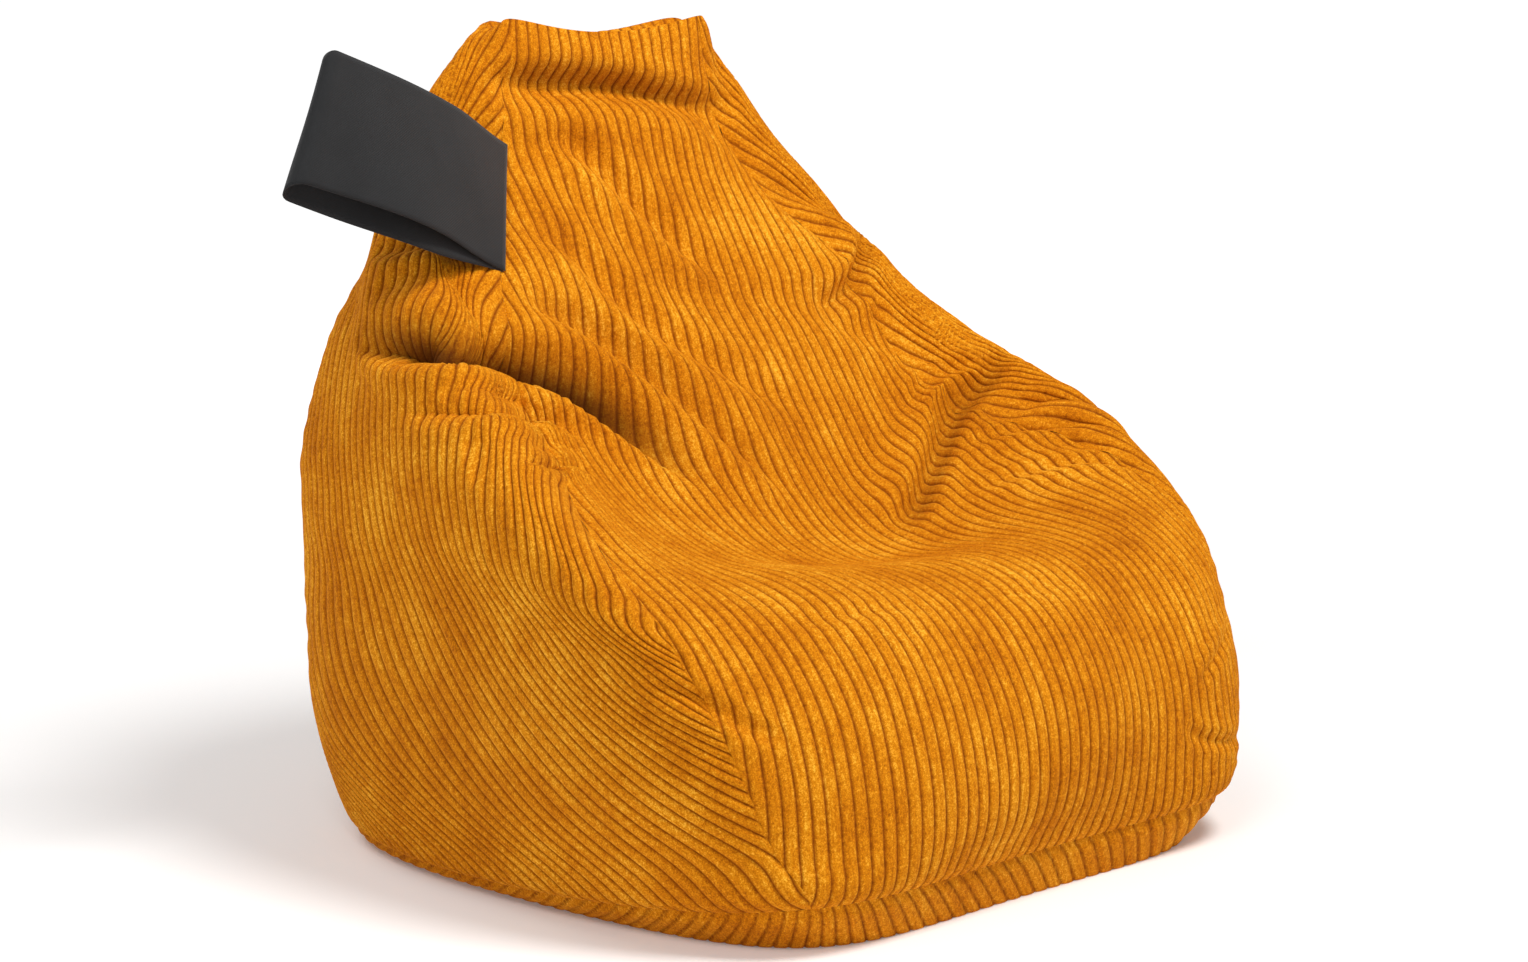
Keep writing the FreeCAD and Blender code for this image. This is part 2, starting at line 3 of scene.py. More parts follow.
import bmesh
import bpy
import numpy as np
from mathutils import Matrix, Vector


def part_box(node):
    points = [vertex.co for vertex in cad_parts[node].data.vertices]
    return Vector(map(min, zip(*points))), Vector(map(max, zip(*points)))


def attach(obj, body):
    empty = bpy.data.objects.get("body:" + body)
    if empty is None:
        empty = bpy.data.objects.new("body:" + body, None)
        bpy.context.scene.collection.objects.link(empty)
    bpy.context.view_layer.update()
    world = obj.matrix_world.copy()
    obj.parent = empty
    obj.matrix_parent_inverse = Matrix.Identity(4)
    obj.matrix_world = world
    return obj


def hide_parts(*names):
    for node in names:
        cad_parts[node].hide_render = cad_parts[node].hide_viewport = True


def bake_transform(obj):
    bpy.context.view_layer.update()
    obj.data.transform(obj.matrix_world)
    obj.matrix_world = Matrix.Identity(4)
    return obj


# A teardrop bean bag chair in wide-wale corduroy. All lengths are metres in the CAD frame:
# +Z up, the chair faces -Y, origin on the floor under the middle of the base.
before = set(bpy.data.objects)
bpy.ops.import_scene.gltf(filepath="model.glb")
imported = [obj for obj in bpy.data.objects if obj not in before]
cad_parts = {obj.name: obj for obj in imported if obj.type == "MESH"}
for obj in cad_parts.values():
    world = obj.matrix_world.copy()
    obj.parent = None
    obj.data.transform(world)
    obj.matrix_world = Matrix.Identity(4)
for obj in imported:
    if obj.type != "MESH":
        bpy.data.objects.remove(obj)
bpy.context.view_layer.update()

TURN = 2 * math.pi

# ---- the surface of the cover
# Rings from the floor to the top, in millimetres: front y z, front seam x y z, side x y z,
# back seam x y z, back y z. The left half mirrors the right half.
STATIONS = (
    (-358, 0, 275, -328, 0, 352, -5, 0, 280, 290, 0, 305, 0),
    (-368, 42, 298, -358, 44, 378, -15, 16, 292, 298, 20, 324, 24),
    (-392, 92, 330, -352, 92, 396, -15, 90, 314, 320, 95, 358, 95),
    (-394, 155, 352, -335, 155, 404, -10, 175, 323, 333, 185, 380, 185),
    (-376, 215, 370, -300, 232, 404, 0, 268, 324, 334, 285, 386, 285),
    (-312, 274, 384, -254, 300, 398, 25, 360, 323, 333, 385, 385, 385),
    (-215, 296, 374, -182, 348, 386, 60, 438, 309, 332, 455, 380, 465),
    (-125, 287, 338, -92, 384, 362, 100, 500, 287, 328, 520, 372, 535),
    (-20, 335, 293, 12, 418, 330, 145, 560, 252, 320, 585, 360, 605),
    (70, 450, 272, 84, 482, 294, 190, 622, 225, 308, 652, 342, 672),
    (150, 572, 234, 138, 578, 258, 225, 685, 193, 292, 712, 322, 728),
    (205, 685, 166, 212, 682, 206, 245, 752, 158, 277, 770, 300, 780),
    (226, 808, 130, 226, 824, 146, 248, 816, 126, 272, 822, 280, 808),
)
STEPS = 8
STEP = TURN / STEPS
FRONT, FRONT_LEFT, LEFT, BACK_LEFT, BACK, BACK_RIGHT, RIGHT, FRONT_RIGHT = range(STEPS)


def control_rings():
    rings = []
    for front_y, front_z, *corner, back_y, back_z in STATIONS:
        right = [tuple(corner[i:i + 3]) for i in (0, 3, 6)]
        left = [(-x, y, z) for x, y, z in right]
        rings.append([(0, front_y, front_z), *left, (0, back_y, back_z), *right[::-1]])
    return np.array(rings, float) / 1000


RINGS = control_rings()
SPACING = np.linalg.norm(np.diff(RINGS, axis=0), axis=2).mean(1)
KNOTS = np.concatenate([[0.0], np.cumsum(SPACING)])
BASE_HEIGHT = KNOTS[1]
TOP_HEIGHT = KNOTS[-1]


def natural_spline(knots, values, at):
    """Natural cubic spline through values (one per knot, any trailing shape) at the given places."""
    values = np.asarray(values, float)
    flat = values.reshape(len(knots), -1)
    gaps = np.diff(knots)
    matrix = np.eye(len(knots))
    right_side = np.zeros_like(flat)
    for i in range(1, len(knots) - 1):
        matrix[i, i - 1:i + 2] = gaps[i - 1], 2 * (gaps[i - 1] + gaps[i]), gaps[i]
        rise = (flat[i + 1] - flat[i]) / gaps[i] - (flat[i] - flat[i - 1]) / gaps[i - 1]
        right_side[i] = 6 * rise
    bends = np.linalg.solve(matrix, right_side)
    at = np.asarray(at, float)
    i = np.clip(np.searchsorted(knots, at) - 1, 0, len(knots) - 2)
    gap = gaps[i][:, None]
    above = (at - knots[i])[:, None]
    below = gap - above
    result = bends[i] * below ** 3 / (6 * gap) + bends[i + 1] * above ** 3 / (6 * gap)
    result += (flat[i] / gap - bends[i] * gap / 6) * below
    result += (flat[i + 1] / gap - bends[i + 1] * gap / 6) * above
    return result.reshape((len(at),) + values.shape[1:])


def ring_weights(angles):
    """Weight of each control point at each angle: 1 at its own, 0 at the other seven."""
    turned = np.asarray(angles)[..., None] - np.arange(STEPS) * STEP
    turned = np.where(np.abs(np.sin(turned / 2)) < 1e-7, 1e-6, turned)
    return np.sin(STEPS / 2 * turned) / (STEPS * np.tan(turned / 2))


def net(heights, angles):
    """Smooth cover at every height (R,) and angle (R, K) or (K,): an (R, K, 3) array."""
    lines = natural_spline(KNOTS, RINGS, heights)
    weights = ring_weights(angles)
    if weights.ndim == 2:
        return np.einsum("kc,rcx->rkx", weights, lines)
    return np.einsum("rkc,rcx->rkx", weights, lines)


def unit(vectors):
    return vectors / np.maximum(np.linalg.norm(vectors, axis=-1, keepdims=True), 1e-12)


def smooth_step(value, low=0.0, high=1.0):
    t = np.clip((np.asarray(value, float) - low) / (high - low), 0, 1)
    return t * t * (3 - 2 * t)


def bump(distance, width):
    return np.exp(-(distance / width) ** 2)


# ---- the folded skin as a grid
GRID_ROWS = 211
GRID_COLUMNS = 560
grid_heights = np.linspace(0, TOP_HEIGHT, GRID_ROWS)
grid_angles = np.arange(GRID_COLUMNS) * TURN / GRID_COLUMNS


def round_angles(rows, columns):
    """Even angles all the way round, the same for each row."""
    return np.broadcast_to(np.arange(columns) * TURN / columns, (rows, columns))


def grid_normals(grid):
    up = np.gradient(grid, axis=0)
    round_it = np.roll(grid, -1, 1) - np.roll(grid, 1, 1)
    return unit(np.cross(up, round_it))


def cubic_weights(t):
    """Catmull-Rom weights of the four points round a place."""
    return (
        ((-t + 2) * t - 1) * t / 2,
        ((3 * t - 5) * t * t + 2) / 2,
        ((-3 * t + 4) * t + 1) * t / 2,
        ((t - 1) * t * t) / 2,
    )


def sample(grid, heights, angles):
    """Grid values at heights (R,) and angles (R, K), smooth both ways."""
    rows = np.asarray(heights) / TOP_HEIGHT * (len(grid) - 1)
    first = np.clip(np.floor(rows).astype(int), 0, len(grid) - 2)
    lines = 0
    for k, weight in enumerate(cubic_weights(rows - first)):
        lines = lines + grid[np.clip(first + k - 1, 0, len(grid) - 1)] * weight[:, None, None]
    columns = np.asarray(angles) / TURN * grid.shape[1]
    start = np.floor(columns).astype(int)
    row_index = np.arange(len(lines))[:, None]
    result = 0
    for k, weight in enumerate(cubic_weights(columns - start)):
        result = result + lines[row_index, (start + k - 1) % grid.shape[1]] * weight[..., None]
    return result


def waves(points, lengths, count, seed):
    """Smooth noise between about -1 and 1, from waves of the given range of lengths."""
    source = np.random.RandomState(seed)
    total = np.zeros(points.shape[:-1])
    for _ in range(count):
        direction = unit(source.normal(size=3))
        length = source.uniform(*lengths)
        total += np.sin(points @ direction * TURN / length + source.uniform(0, TURN))
    return total / math.sqrt(count / 2)


def path_points(path, count=40):
    """A path of (degrees, height) corners as a smooth line on the net."""
    corners = np.array(path, float)
    share = np.linspace(0, 1, len(corners))
    at = np.linspace(0, 1, count)
    degrees, height = natural_spline(share, corners, at).T
    return net(height, np.radians(degrees)[:, None])[:, 0]


def along_path(points, normals, line):
    """Signed distance from the line (positive above it), share along it, and the way across it."""
    best = np.full(points.shape[:-1], 1e9)
    side = np.zeros(points.shape[:-1])
    share = np.zeros(points.shape[:-1])
    across = np.zeros(points.shape)
    for i in range(len(line) - 1):
        start, step = line[i], line[i + 1] - line[i]
        t = np.clip(((points - start) @ step) / (step @ step), 0, 1)
        away = points - start - t[..., None] * step
        distance = np.linalg.norm(away, axis=-1)
        nearer = distance < best
        way = unit(np.cross(normals, step))
        best = np.where(nearer, distance, best)
        side = np.where(nearer, np.sign((away * way).sum(-1)), side)
        share = np.where(nearer, (i + t) / (len(line) - 1), share)
        across = np.where(nearer[..., None], way, across)
    return best * side, share, across


# ---- meshes
def linked(name, data):
    made = bpy.data.objects.new(name, data)
    bpy.context.scene.collection.objects.link(made)
    return made


def make_mesh(name, points, faces, smooth=True):
    mesh = bpy.data.meshes.new(name)
    mesh.from_pydata([tuple(p) for p in np.asarray(points).reshape(-1, 3)], [], faces)
    mesh.validate()
    mesh.update()
    if smooth:
        mesh.polygons.foreach_set("use_smooth", [True] * len(mesh.polygons))
    return linked(name, mesh)


def solid_strip(name, outer, inner):
    """A closed mesh from two open grids of points, one for each face of a strip."""
    ring = np.concatenate([outer, inner[:, ::-1]], axis=1)
    return turned_out(capped_tube(name, ring))


def capped_tube(name, rings):
    """A mesh through closed rings, with a flat cap at each end."""
    rows, columns = rings.shape[:2]
    faces = grid_faces(rows, columns, closed=True)
    faces.append(tuple(range(columns)))
    faces.append(tuple(range(rows * columns - 1, (rows - 1) * columns - 1, -1)))
    return make_mesh(name, rings, faces)


def turned_out(made):
    """The same piece with every face pointing outward."""
    build = bmesh.new()
    build.from_mesh(made.data)
    bmesh.ops.recalc_face_normals(build, faces=build.faces)
    build.to_mesh(made.data)
    build.free()
    return made


def set_vectors(made, name, values):
    attribute = made.data.attributes.new(name, "FLOAT_VECTOR", "POINT")
    attribute.data.foreach_set("vector", np.asarray(values, np.float32).ravel())


def grid_faces(rows, columns, closed=False, offset=0):
    faces = []
    last = columns if closed else columns - 1
    for i in range(rows - 1):
        for j in range(last):
            k = (j + 1) % columns
            faces.append((
                offset + i * columns + j,
                offset + (i + 1) * columns + j,
                offset + (i + 1) * columns + k,
                offset + i * columns + k,
            ))
    return faces


def capped(name, grid):
    """A closed mesh from a grid of rings, with its first and last ring filled by a fan."""
    rows, columns = grid.shape[:2]
    points = np.concatenate([grid.reshape(-1, 3), grid[0].mean(0)[None], grid[-1].mean(0)[None]])
    faces = grid_faces(rows, columns, closed=True)
    foot, crown = rows * columns, rows * columns + 1
    last = (rows - 1) * columns
    for j in range(columns):
        k = (j + 1) % columns
        faces.append((foot, j, k))
        faces.append((crown, last + k, last + j))
    return make_mesh(name, points, faces)


# Kinds of fold: depth of the crease and its width above and below; lift and reach of the swell
# above it and of the one below; how far the upper swell closes over it and the lower one rises;
# and the share of the path over which both ends fade.
DEEP = (.041, .028, .009, .010, .052, .010, .022, .004, .003, .24)
CREASE = (.010, .014, .007, .003, .022, .006, .016, .0, .004, .30)
SMALL_CREASE = (.008, .010, .006, .002, .016, .004, .012, .0, .003, .30)
SHOULDER = (.012, .022, .018, .0, .030, .008, .026, .0, .0, .30)
LONG_NARROW = (.010, .020, .014, .004, .034, .006, .03, .0, .003, .30)
LONG_WIDE = (.009, .024, .016, .004, .036, .005, .03, .0, .003, .30)
LONG_DEEP = (.012, .024, .014, .005, .036, .007, .03, .0, .004, .28)
UNDER_RIM = (.021, .018, .030, .006, .022, .008, .04, .003, .0, .36)
ARM = (.018, .018, .010, .005, .030, .010, .030, .0, .006, .22)
RIPPLE = (.005, .010, .008, .003, .016, .004, .016, .0, .001, .35)
LOW_RIPPLE = (.005, .010, .008, .003, .016, .004, .018, .0, .001, .35)
HIGH_RIPPLE = (.006, .012, .008, .003, .016, .005, .018, .0, .001, .35)
NOTCH = (.014, .016, .012, .005, .028, .008, .030, .0, .003, .30)
SEAM_PUCKER = (.006, .012, .008, .003, .014, .003, .018, .0, .002, .30)
PUCKER = (.004, .010, .008, .002, .014, .003, .014, .0, .001, .35)

# Each fold with its path: corners as degrees round from the front and height on the net.
FOLDS = (
    # the deep crease across the left shoulder, running down into the seat, and two below it
    (DEEP, (118, .520), (104, .530), (90, .548), (72, .61), (58, .68), (46, .718), (34, .722),
     (25, .708), (17, .680), (9, .632)),
    (CREASE, (100, .460), (80, .506), (64, .565), (50, .64), (38, .682), (26, .676)),
    (SMALL_CREASE, (64, .515), (53, .553), (41, .617), (30, .643)),
    # the swell over the shoulder and the hollow behind the label
    (SHOULDER, (122, .652), (100, .675), (80, .745), (62, .80), (44, .845)),
    # long diagonal folds down the back rest
    (LONG_NARROW, (26, .945), (18, .919), (9, .890), (0, .845), (-6, .812), (-13, .79)),
    (LONG_WIDE, (44, .852), (26, .842), (16, .805), (8, .765), (0, .733), (-7, .705), (-12, .68)),
    (LONG_DEEP, (44, .792), (30, .782), (22, .768), (13, .735), (6, .694), (1, .655), (-3, .62)),
    # the hollow under the top edge, below a soft rolled rim
    (UNDER_RIM, (66, .962), (42, .968), (24, .970), (6, .968), (-14, .958), (-40, .945), (-64, .935)),
    # the crease beside the right arm, and ripples of the arm
    (ARM, (-72, .548), (-58, .592), (-46, .622), (-36, .624), (-26, .610), (-18, .592), (-10, .572)),
    (RIPPLE, (-26, .618), (-40, .578), (-48, .53), (-56, .467)),
    (LOW_RIPPLE, (-22, .572), (-33, .538), (-41, .489), (-47, .44)),
    (RIPPLE, (-45, .585), (-55, .538), (-62, .47), (-70, .40)),
    (HIGH_RIPPLE, (-30, .655), (-44, .655), (-56, .62), (-66, .56)),
    # the notch on the right shoulder
    (NOTCH, (-86, .742), (-62, .768), (-50, .778), (-36, .771), (-24, .755)),
    # the puckers across the front left seam and beside the front right seam
    (SEAM_PUCKER, (54, .292), (46, .287), (40, .262), (34, .246)),
    (PUCKER, (-40, .262), (-29, .237), (-24, .205)),
    (PUCKER, (-46, .130), (-36, .128), (-25, .150), (-22, .175)),
)
# creases shallower than the first depth get no painted shade, and those past the second get the darkest
# painted shade
SHADE_FROM, FULL_SHADE = .010, .036
SHADE_GAIN = 1.5
# joined creases sink freely to the first depth, and by no more than the second beyond it
DEEPEST_FREE, DEEPEST_MORE = .030, .010


def add_folds(grid):
    """The grid with its folds, and how much painted shade each point gets from them, 0 to 1."""
    normals = grid_normals(grid)
    moved = np.zeros_like(grid)
    risen = np.zeros(grid.shape[:2])
    shade = np.zeros(grid.shape[:2])
    for kind, *path in FOLDS:
        depth, above, below, lift, reach, low_lift, low_reach, hang, rise, fade = kind
        distance, share, across = along_path(grid, normals, path_points(path))
        ends = smooth_step(share, 0, fade) * smooth_step(1 - share, 0, fade)
        out = -depth * bump(distance, np.where(distance > 0, above, below))
        out += lift * bump(distance - reach * .9, reach * .6)
        out += low_lift * bump(distance + low_reach * .8, low_reach * .6)
        risen += out * ends
        over = rise * bump(distance + low_reach * .5, low_reach * .6)
        over -= hang * bump(distance - reach * .35, reach * .6)
        moved += across * (over * ends)[..., None]
        # painted shade along the crease: a dark band centred a little above its line, wider above than
        # below, for the colour of the cloth
        middle = above * .22
        dark = bump(distance - middle, np.where(distance > middle, above * .80, above * .34))
        amount = np.clip((depth - SHADE_FROM) / (FULL_SHADE - SHADE_FROM), 0, 1)
        shade = np.maximum(shade, np.clip(SHADE_GAIN * dark, 0, 1) * ends * amount)
    # where creases meet, the cloth sinks no further than the deepest of them
    deeper = DEEPEST_FREE + DEEPEST_MORE * np.tanh((-DEEPEST_FREE - risen) / DEEPEST_MORE)
    risen = np.where(risen < -DEEPEST_FREE, -deeper, risen)
    return grid + moved + normals * risen[..., None], shade


# how many columns the corners of the top end are rounded over, and how far down
CORNER_REACH, CORNER_DEPTH = 30, .070


def smoothing(reach):
    kernel = np.hanning(2 * reach + 1)
    return kernel / kernel.sum()


def soften_top(grid):
    """Round the four corners of the top end: average along the ring, more towards the rim."""
    weights = enumerate(smoothing(CORNER_REACH))
    blurred = sum(weight * np.roll(grid, k - CORNER_REACH, 1) for k, weight in weights)
    amount = smooth_step(TOP_HEIGHT - grid_heights, .0, CORNER_DEPTH)
    return blurred * (1 - amount)[:, None, None] + grid * amount[:, None, None]


SLOW_SWELL, QUICK_SWELL = .0030, .0005


def add_lumps(grid):
    """Slow swells where the beads have settled, none at the floor or the top."""
    normals = grid_normals(grid)
    free = smooth_step(grid_heights, .02, .12) * smooth_step(TOP_HEIGHT - grid_heights, 0, .05)
    swell = SLOW_SWELL * waves(grid, (.20, .40), 14, 3) + QUICK_SWELL * waves(grid, (.07, .12), 18, 4)
    return grid + normals * (swell * free[:, None])[..., None]


ZIP_LOW_Z, ZIP_HIGH_Z = [corner.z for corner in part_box("zip_tape_back")]
ZIP_ANGLE = BACK_RIGHT * STEP
ZIP_MIDDLE_Z = (ZIP_LOW_Z + ZIP_HIGH_Z) / 2
HALF_ZIP = (ZIP_HIGH_Z - ZIP_LOW_Z) / 2
# the seam is straightened this far beyond the zip's ends, and the cloth follows this wide
ZIP_FADE, ZIP_PULL_WIDTH = .05, .045


def zip_frame():
    """The point on the seam that the zip is built on, and its outward direction."""
    heights = np.linspace(BASE_HEIGHT, TOP_HEIGHT, 2000)
    line = net(heights, np.full((2000, 1), ZIP_ANGLE))[:, 0]
    i = int(np.argmin(np.abs(line[:, 2] - ZIP_MIDDLE_Z)))
    near = net(heights[i:i + 1], np.array([[ZIP_ANGLE - .002, ZIP_ANGLE + .002]]))[0]
    up = line[i + 1] - line[i - 1]
    normal = unit(np.cross(up, near[1] - near[0]))
    flat = unit(np.array([normal[0], normal[1], 0.0]))
    return np.array([line[i, 0], line[i, 1], ZIP_MIDDLE_Z]), flat


ZIP_ORIGIN, ZIP_OUT = zip_frame()


def meet_zip(grid):
    """Bring the back right seam onto the straight line of the zip."""
    column = int(round(ZIP_ANGLE / TURN * GRID_COLUMNS))
    seam = grid[:, column]
    short = (ZIP_ORIGIN - seam) @ ZIP_OUT
    inside = smooth_step(HALF_ZIP + ZIP_FADE - np.abs(seam[:, 2] - ZIP_MIDDLE_Z), 0, ZIP_FADE)
    distance = np.linalg.norm(grid - seam[:, None], axis=-1)
    amount = (short * inside)[:, None] * bump(distance, ZIP_PULL_WIDTH)
    return grid + ZIP_OUT * amount[..., None]


smooth_grid = net(grid_heights, grid_angles)
smooth_normals = grid_normals(smooth_grid)
folded_grid, fold_painted_shade = add_folds(soften_top(smooth_grid))
skin = add_lumps(folded_grid)


# ---- slack cloth, simulated
SIM_ROWS, SIM_COLUMNS, SIM_FRAMES = 100, 208, 22
# no point of the cloth settles further than this
SIM_REACH = .011
SIM_SETTINGS = {
    "quality": 6,
    "mass": .25,
    "tension_stiffness": 12,
    "compression_stiffness": 12,
    "shear_stiffness": 6,
    "bending_stiffness": .35,
    "use_pressure": True,
    "uniform_pressure_force": 3.0,
    "vertex_group_mass": "held",
    "pin_stiffness": 1.0,
    "shrink_min": 0.0,
    "shrink_max": -.045,
    "vertex_group_shrink": "slack",
}


def settle(grid):
    """Let the cover swell and wrinkle a little where it is slack; it returns the moved grid."""
    heights = np.linspace(0, TOP_HEIGHT, SIM_ROWS)
    start = sample(grid, heights, round_angles(SIM_ROWS, SIM_COLUMNS))
    made = capped("cover_settling", start)
    turn = np.arange(SIM_COLUMNS) / SIM_COLUMNS * STEPS
    to_seam = np.abs(turn[None] - np.array([1, 3, 5, 7])[:, None]).min(0)
    seam = bump(to_seam, .12)[None]
    low_end = 1 - smooth_step(heights, .03, .10)
    end = np.maximum(low_end, 1 - smooth_step(TOP_HEIGHT - heights, .005, .05))
    back = bump(np.abs(turn - BACK), 1.6)[None]
    # slack above the seat and at the arms, tight round the filled body
    loose = smooth_step(heights, .30, .62)[:, None] * (1 - .45 * back)
    hold = np.clip(.16 - .13 * loose + .30 * seam, 0, 1)
    hold = np.maximum(hold, end[:, None])
    slack = np.clip(.25 + .75 * loose, 0, 1) * (1 - end[:, None])
    for group_name, values in (("held", hold.ravel()), ("slack", slack.ravel())):
        group = made.vertex_groups.new(name=group_name)
        for i, value in enumerate(values):
            group.add([i], float(value), "REPLACE")
    made.vertex_groups["held"].add([hold.size, hold.size + 1], 1.0, "REPLACE")
    cloth = made.modifiers.new("cloth", "CLOTH")
    for key, value in SIM_SETTINGS.items():
        setattr(cloth.settings, key, value)
    cloth.settings.effector_weights.gravity = 0.0
    cloth.collision_settings.use_collision = False
    cloth.point_cache.frame_start = 1
    cloth.point_cache.frame_end = SIM_FRAMES
    scene = bpy.context.scene
    for step in range(1, SIM_FRAMES + 1):
        scene.frame_set(step)
    settled = made.evaluated_get(bpy.context.evaluated_depsgraph_get()).to_mesh()
    place = np.zeros(len(settled.vertices) * 3)
    settled.vertices.foreach_get("co", place)
    moved = place.reshape(-1, 3)[:SIM_ROWS * SIM_COLUMNS].reshape(start.shape) - start
    bpy.data.objects.remove(made)
    scene.frame_set(1)
    length = np.linalg.norm(moved, axis=-1, keepdims=True)
    moved *= SIM_REACH * np.tanh(length / SIM_REACH) / np.maximum(length, 1e-9)
    return grid + sample(moved, grid_heights, round_angles(GRID_ROWS, GRID_COLUMNS))


skin = settle(skin)
skin = meet_zip(skin)
skin[:, :, 2] = np.maximum(skin[:, :, 2], .0)
skin_normals = grid_normals(skin)


def lowest_near(values, reach):
    """The least value within a few rows and columns."""
    least = values
    for axis in (0, 1):
        shifted = []
        for k in range(-reach, reach + 1):
            moved = np.roll(least, k, axis)
            if axis == 0 and k > 0:
                moved[:k] = least[:1]
            if axis == 0 and k < 0:
                moved[k:] = least[-1:]
            shifted.append(moved)
        least = np.min(shifted, axis=0)
    return least


# The inner pieces follow a simpler surface, which keeps under the folds of the cover: it sinks by
# the deepest fold within a few cells, along the normal leaned a little towards the middle.
FOLD_CELLS, LEAN_INWARD, LEAST_FACING = 5, .3, .6
CORE_PASSES, CORE_BLEND = 6, .6

sunk = np.minimum(((skin - smooth_grid) * smooth_normals).sum(-1), 0)
sunk = lowest_near(sunk, FOLD_CELLS)
inward = unit(smooth_grid.mean(1, keepdims=True) - smooth_grid)
core_way = unit(LEAN_INWARD * inward - smooth_normals)
facing = np.maximum(-(core_way * smooth_normals).sum(-1), LEAST_FACING)
core = smooth_grid - core_way * (sunk / facing)[..., None]
deep = smooth_step(-sunk, .012, .030)[..., None] * CORE_BLEND
for _ in range(CORE_PASSES):
    around = (np.roll(core, 1, 1) + np.roll(core, -1, 1)) / 2
    along = np.concatenate([core[:1], (core[2:] + core[:-2]) / 2, core[-1:]])
    core = core * (1 - deep) + (around + along) / 2 * deep


def on_skin(heights, angles):
    """Points of the cover and its outward directions."""
    return sample(skin, heights, angles), unit(sample(skin_normals, heights, angles))


def under_core(heights, angles, depth):
    """Points at a depth inside the simpler surface."""
    return sample(core, heights, angles) - unit(sample(smooth_normals, heights, angles)) * depth


# ---- corduroy
WALE = .0145
RELIEF = .0027
# columns of the mesh across one wale: close together in the groove, wide apart on its crown
WALE_COLUMNS = np.array([0.0, .08, .19, .36, .64, .81, .92])
# how deep the cloth turns in at the corner seams and at its ends, and over what width
SEAM_DIVE, SEAM_REACH = .0014, .0040
END_DIVE, END_REACH = .0034, .0065
ROW_STEP = .0050
# the ripple beside a sewn edge: its depth, its length, and how far from the seam and how wide it is
RIPPLE_DEPTH, RIPPLE_LENGTH, RIPPLE_PLACE, RIPPLE_WIDTH = .0007, .031, .014, .016
# at the zip the two cloth edges stand apart, lift into lips and dip at their stitching
ZIP_EDGE, LIP_LIFT, LIP_WIDTH = .0046, .0036, .030
STITCH_DIP, STITCH_WIDTH, ZIP_MARGIN = .0024, .0016, .05


def wale_profile(across):
    """0 in a groove, 1 on the crown of a wale."""
    t = np.mod(across / WALE, 1.0)
    return 1 - np.abs(2 * t - 1) ** 3.0


# The grain of the side gores leans: one wale's path, as height and distance behind the middle.
LEAN_HEIGHTS, LEAN_PATH = np.array([
    (0, -.282), (.035, -.253), (.084, -.219), (.134, -.156), (.188, -.081), (.265, .005),
    (.311, .036), (.343, .053), (.380, .055), (.464, .038), (.56, .008), (.65, -.027),
    (.74, -.058), (.80, -.075), (.90, -.10), (1.01, -.12),
]).T
LEAN_STEP, LEAN_SMOOTHING = .002, 9


def lean_fields(heights):
    path = natural_spline(LEAN_HEIGHTS, LEAN_PATH, heights)
    slope = natural_spline(LEAN_HEIGHTS, LEAN_PATH, heights + LEAN_STEP)
    slope = (slope - natural_spline(LEAN_HEIGHTS, LEAN_PATH, heights - LEAN_STEP)) / (2 * LEAN_STEP)
    padded = np.pad(slope, LEAN_SMOOTHING, mode="edge")
    slope = np.convolve(padded, smoothing(LEAN_SMOOTHING), mode="valid")
    return path, 1 / np.sqrt(1 + slope ** 2)


SEAT_HEIGHT, TURN_RISE, TURN_RATE = .40, .25, .42
TURN_NEAR, TURN_FAR = .02, .17


def edge_turn(heights, from_seam):
    """Near the front seam the grain turns back towards it above the seat."""
    climb = np.clip(heights - SEAT_HEIGHT, 0, TURN_RISE)[:, None]
    return TURN_RATE * climb * (1 - smooth_step(from_seam, TURN_NEAR, TURN_FAR))


def zip_gap(points):
    """1 along the zip, fading to 0 beyond its ends."""
    return smooth_step(HALF_ZIP + .012 - np.abs(points[..., 2] - ZIP_MIDDLE_Z), 0, .014)


def welded_faces(at_low, at_high):
    """Faces of the grid of wale columns, and the vertices they use.

    The columns past a seam are welded into one edge vertex per row.
    """
    rows, count = at_low.shape
    index = np.arange(rows)[:, None] * count + np.arange(count)
    first_free = np.argmax(~at_low, axis=1)
    last_free = count - 1 - np.argmax(~at_high[:, ::-1], axis=1)
    row_start = np.arange(rows) * count
    index = np.where(at_low, (row_start + first_free - 1)[:, None], index)
    index = np.where(at_high, (row_start + last_free + 1)[:, None], index)
    a, b = index[:-1, :-1].ravel(), index[1:, :-1].ravel()
    c, d = index[1:, 1:].ravel(), index[:-1, 1:].ravel()
    keep = ~((a == d) & (b == c))
    used, compact = np.unique(np.stack([a[keep], b[keep], c[keep], d[keep]]), return_inverse=True)
    a, b, c, d = compact.reshape(4, -1)
    quads = (a != d) & (b != c)
    faces = np.stack([a, b, c, d], 1)[quads].tolist()
    faces += np.stack([a, b, c], 1)[a == d].tolist()
    faces += np.stack([a, b, d], 1)[b == c].tolist()
    return faces, used


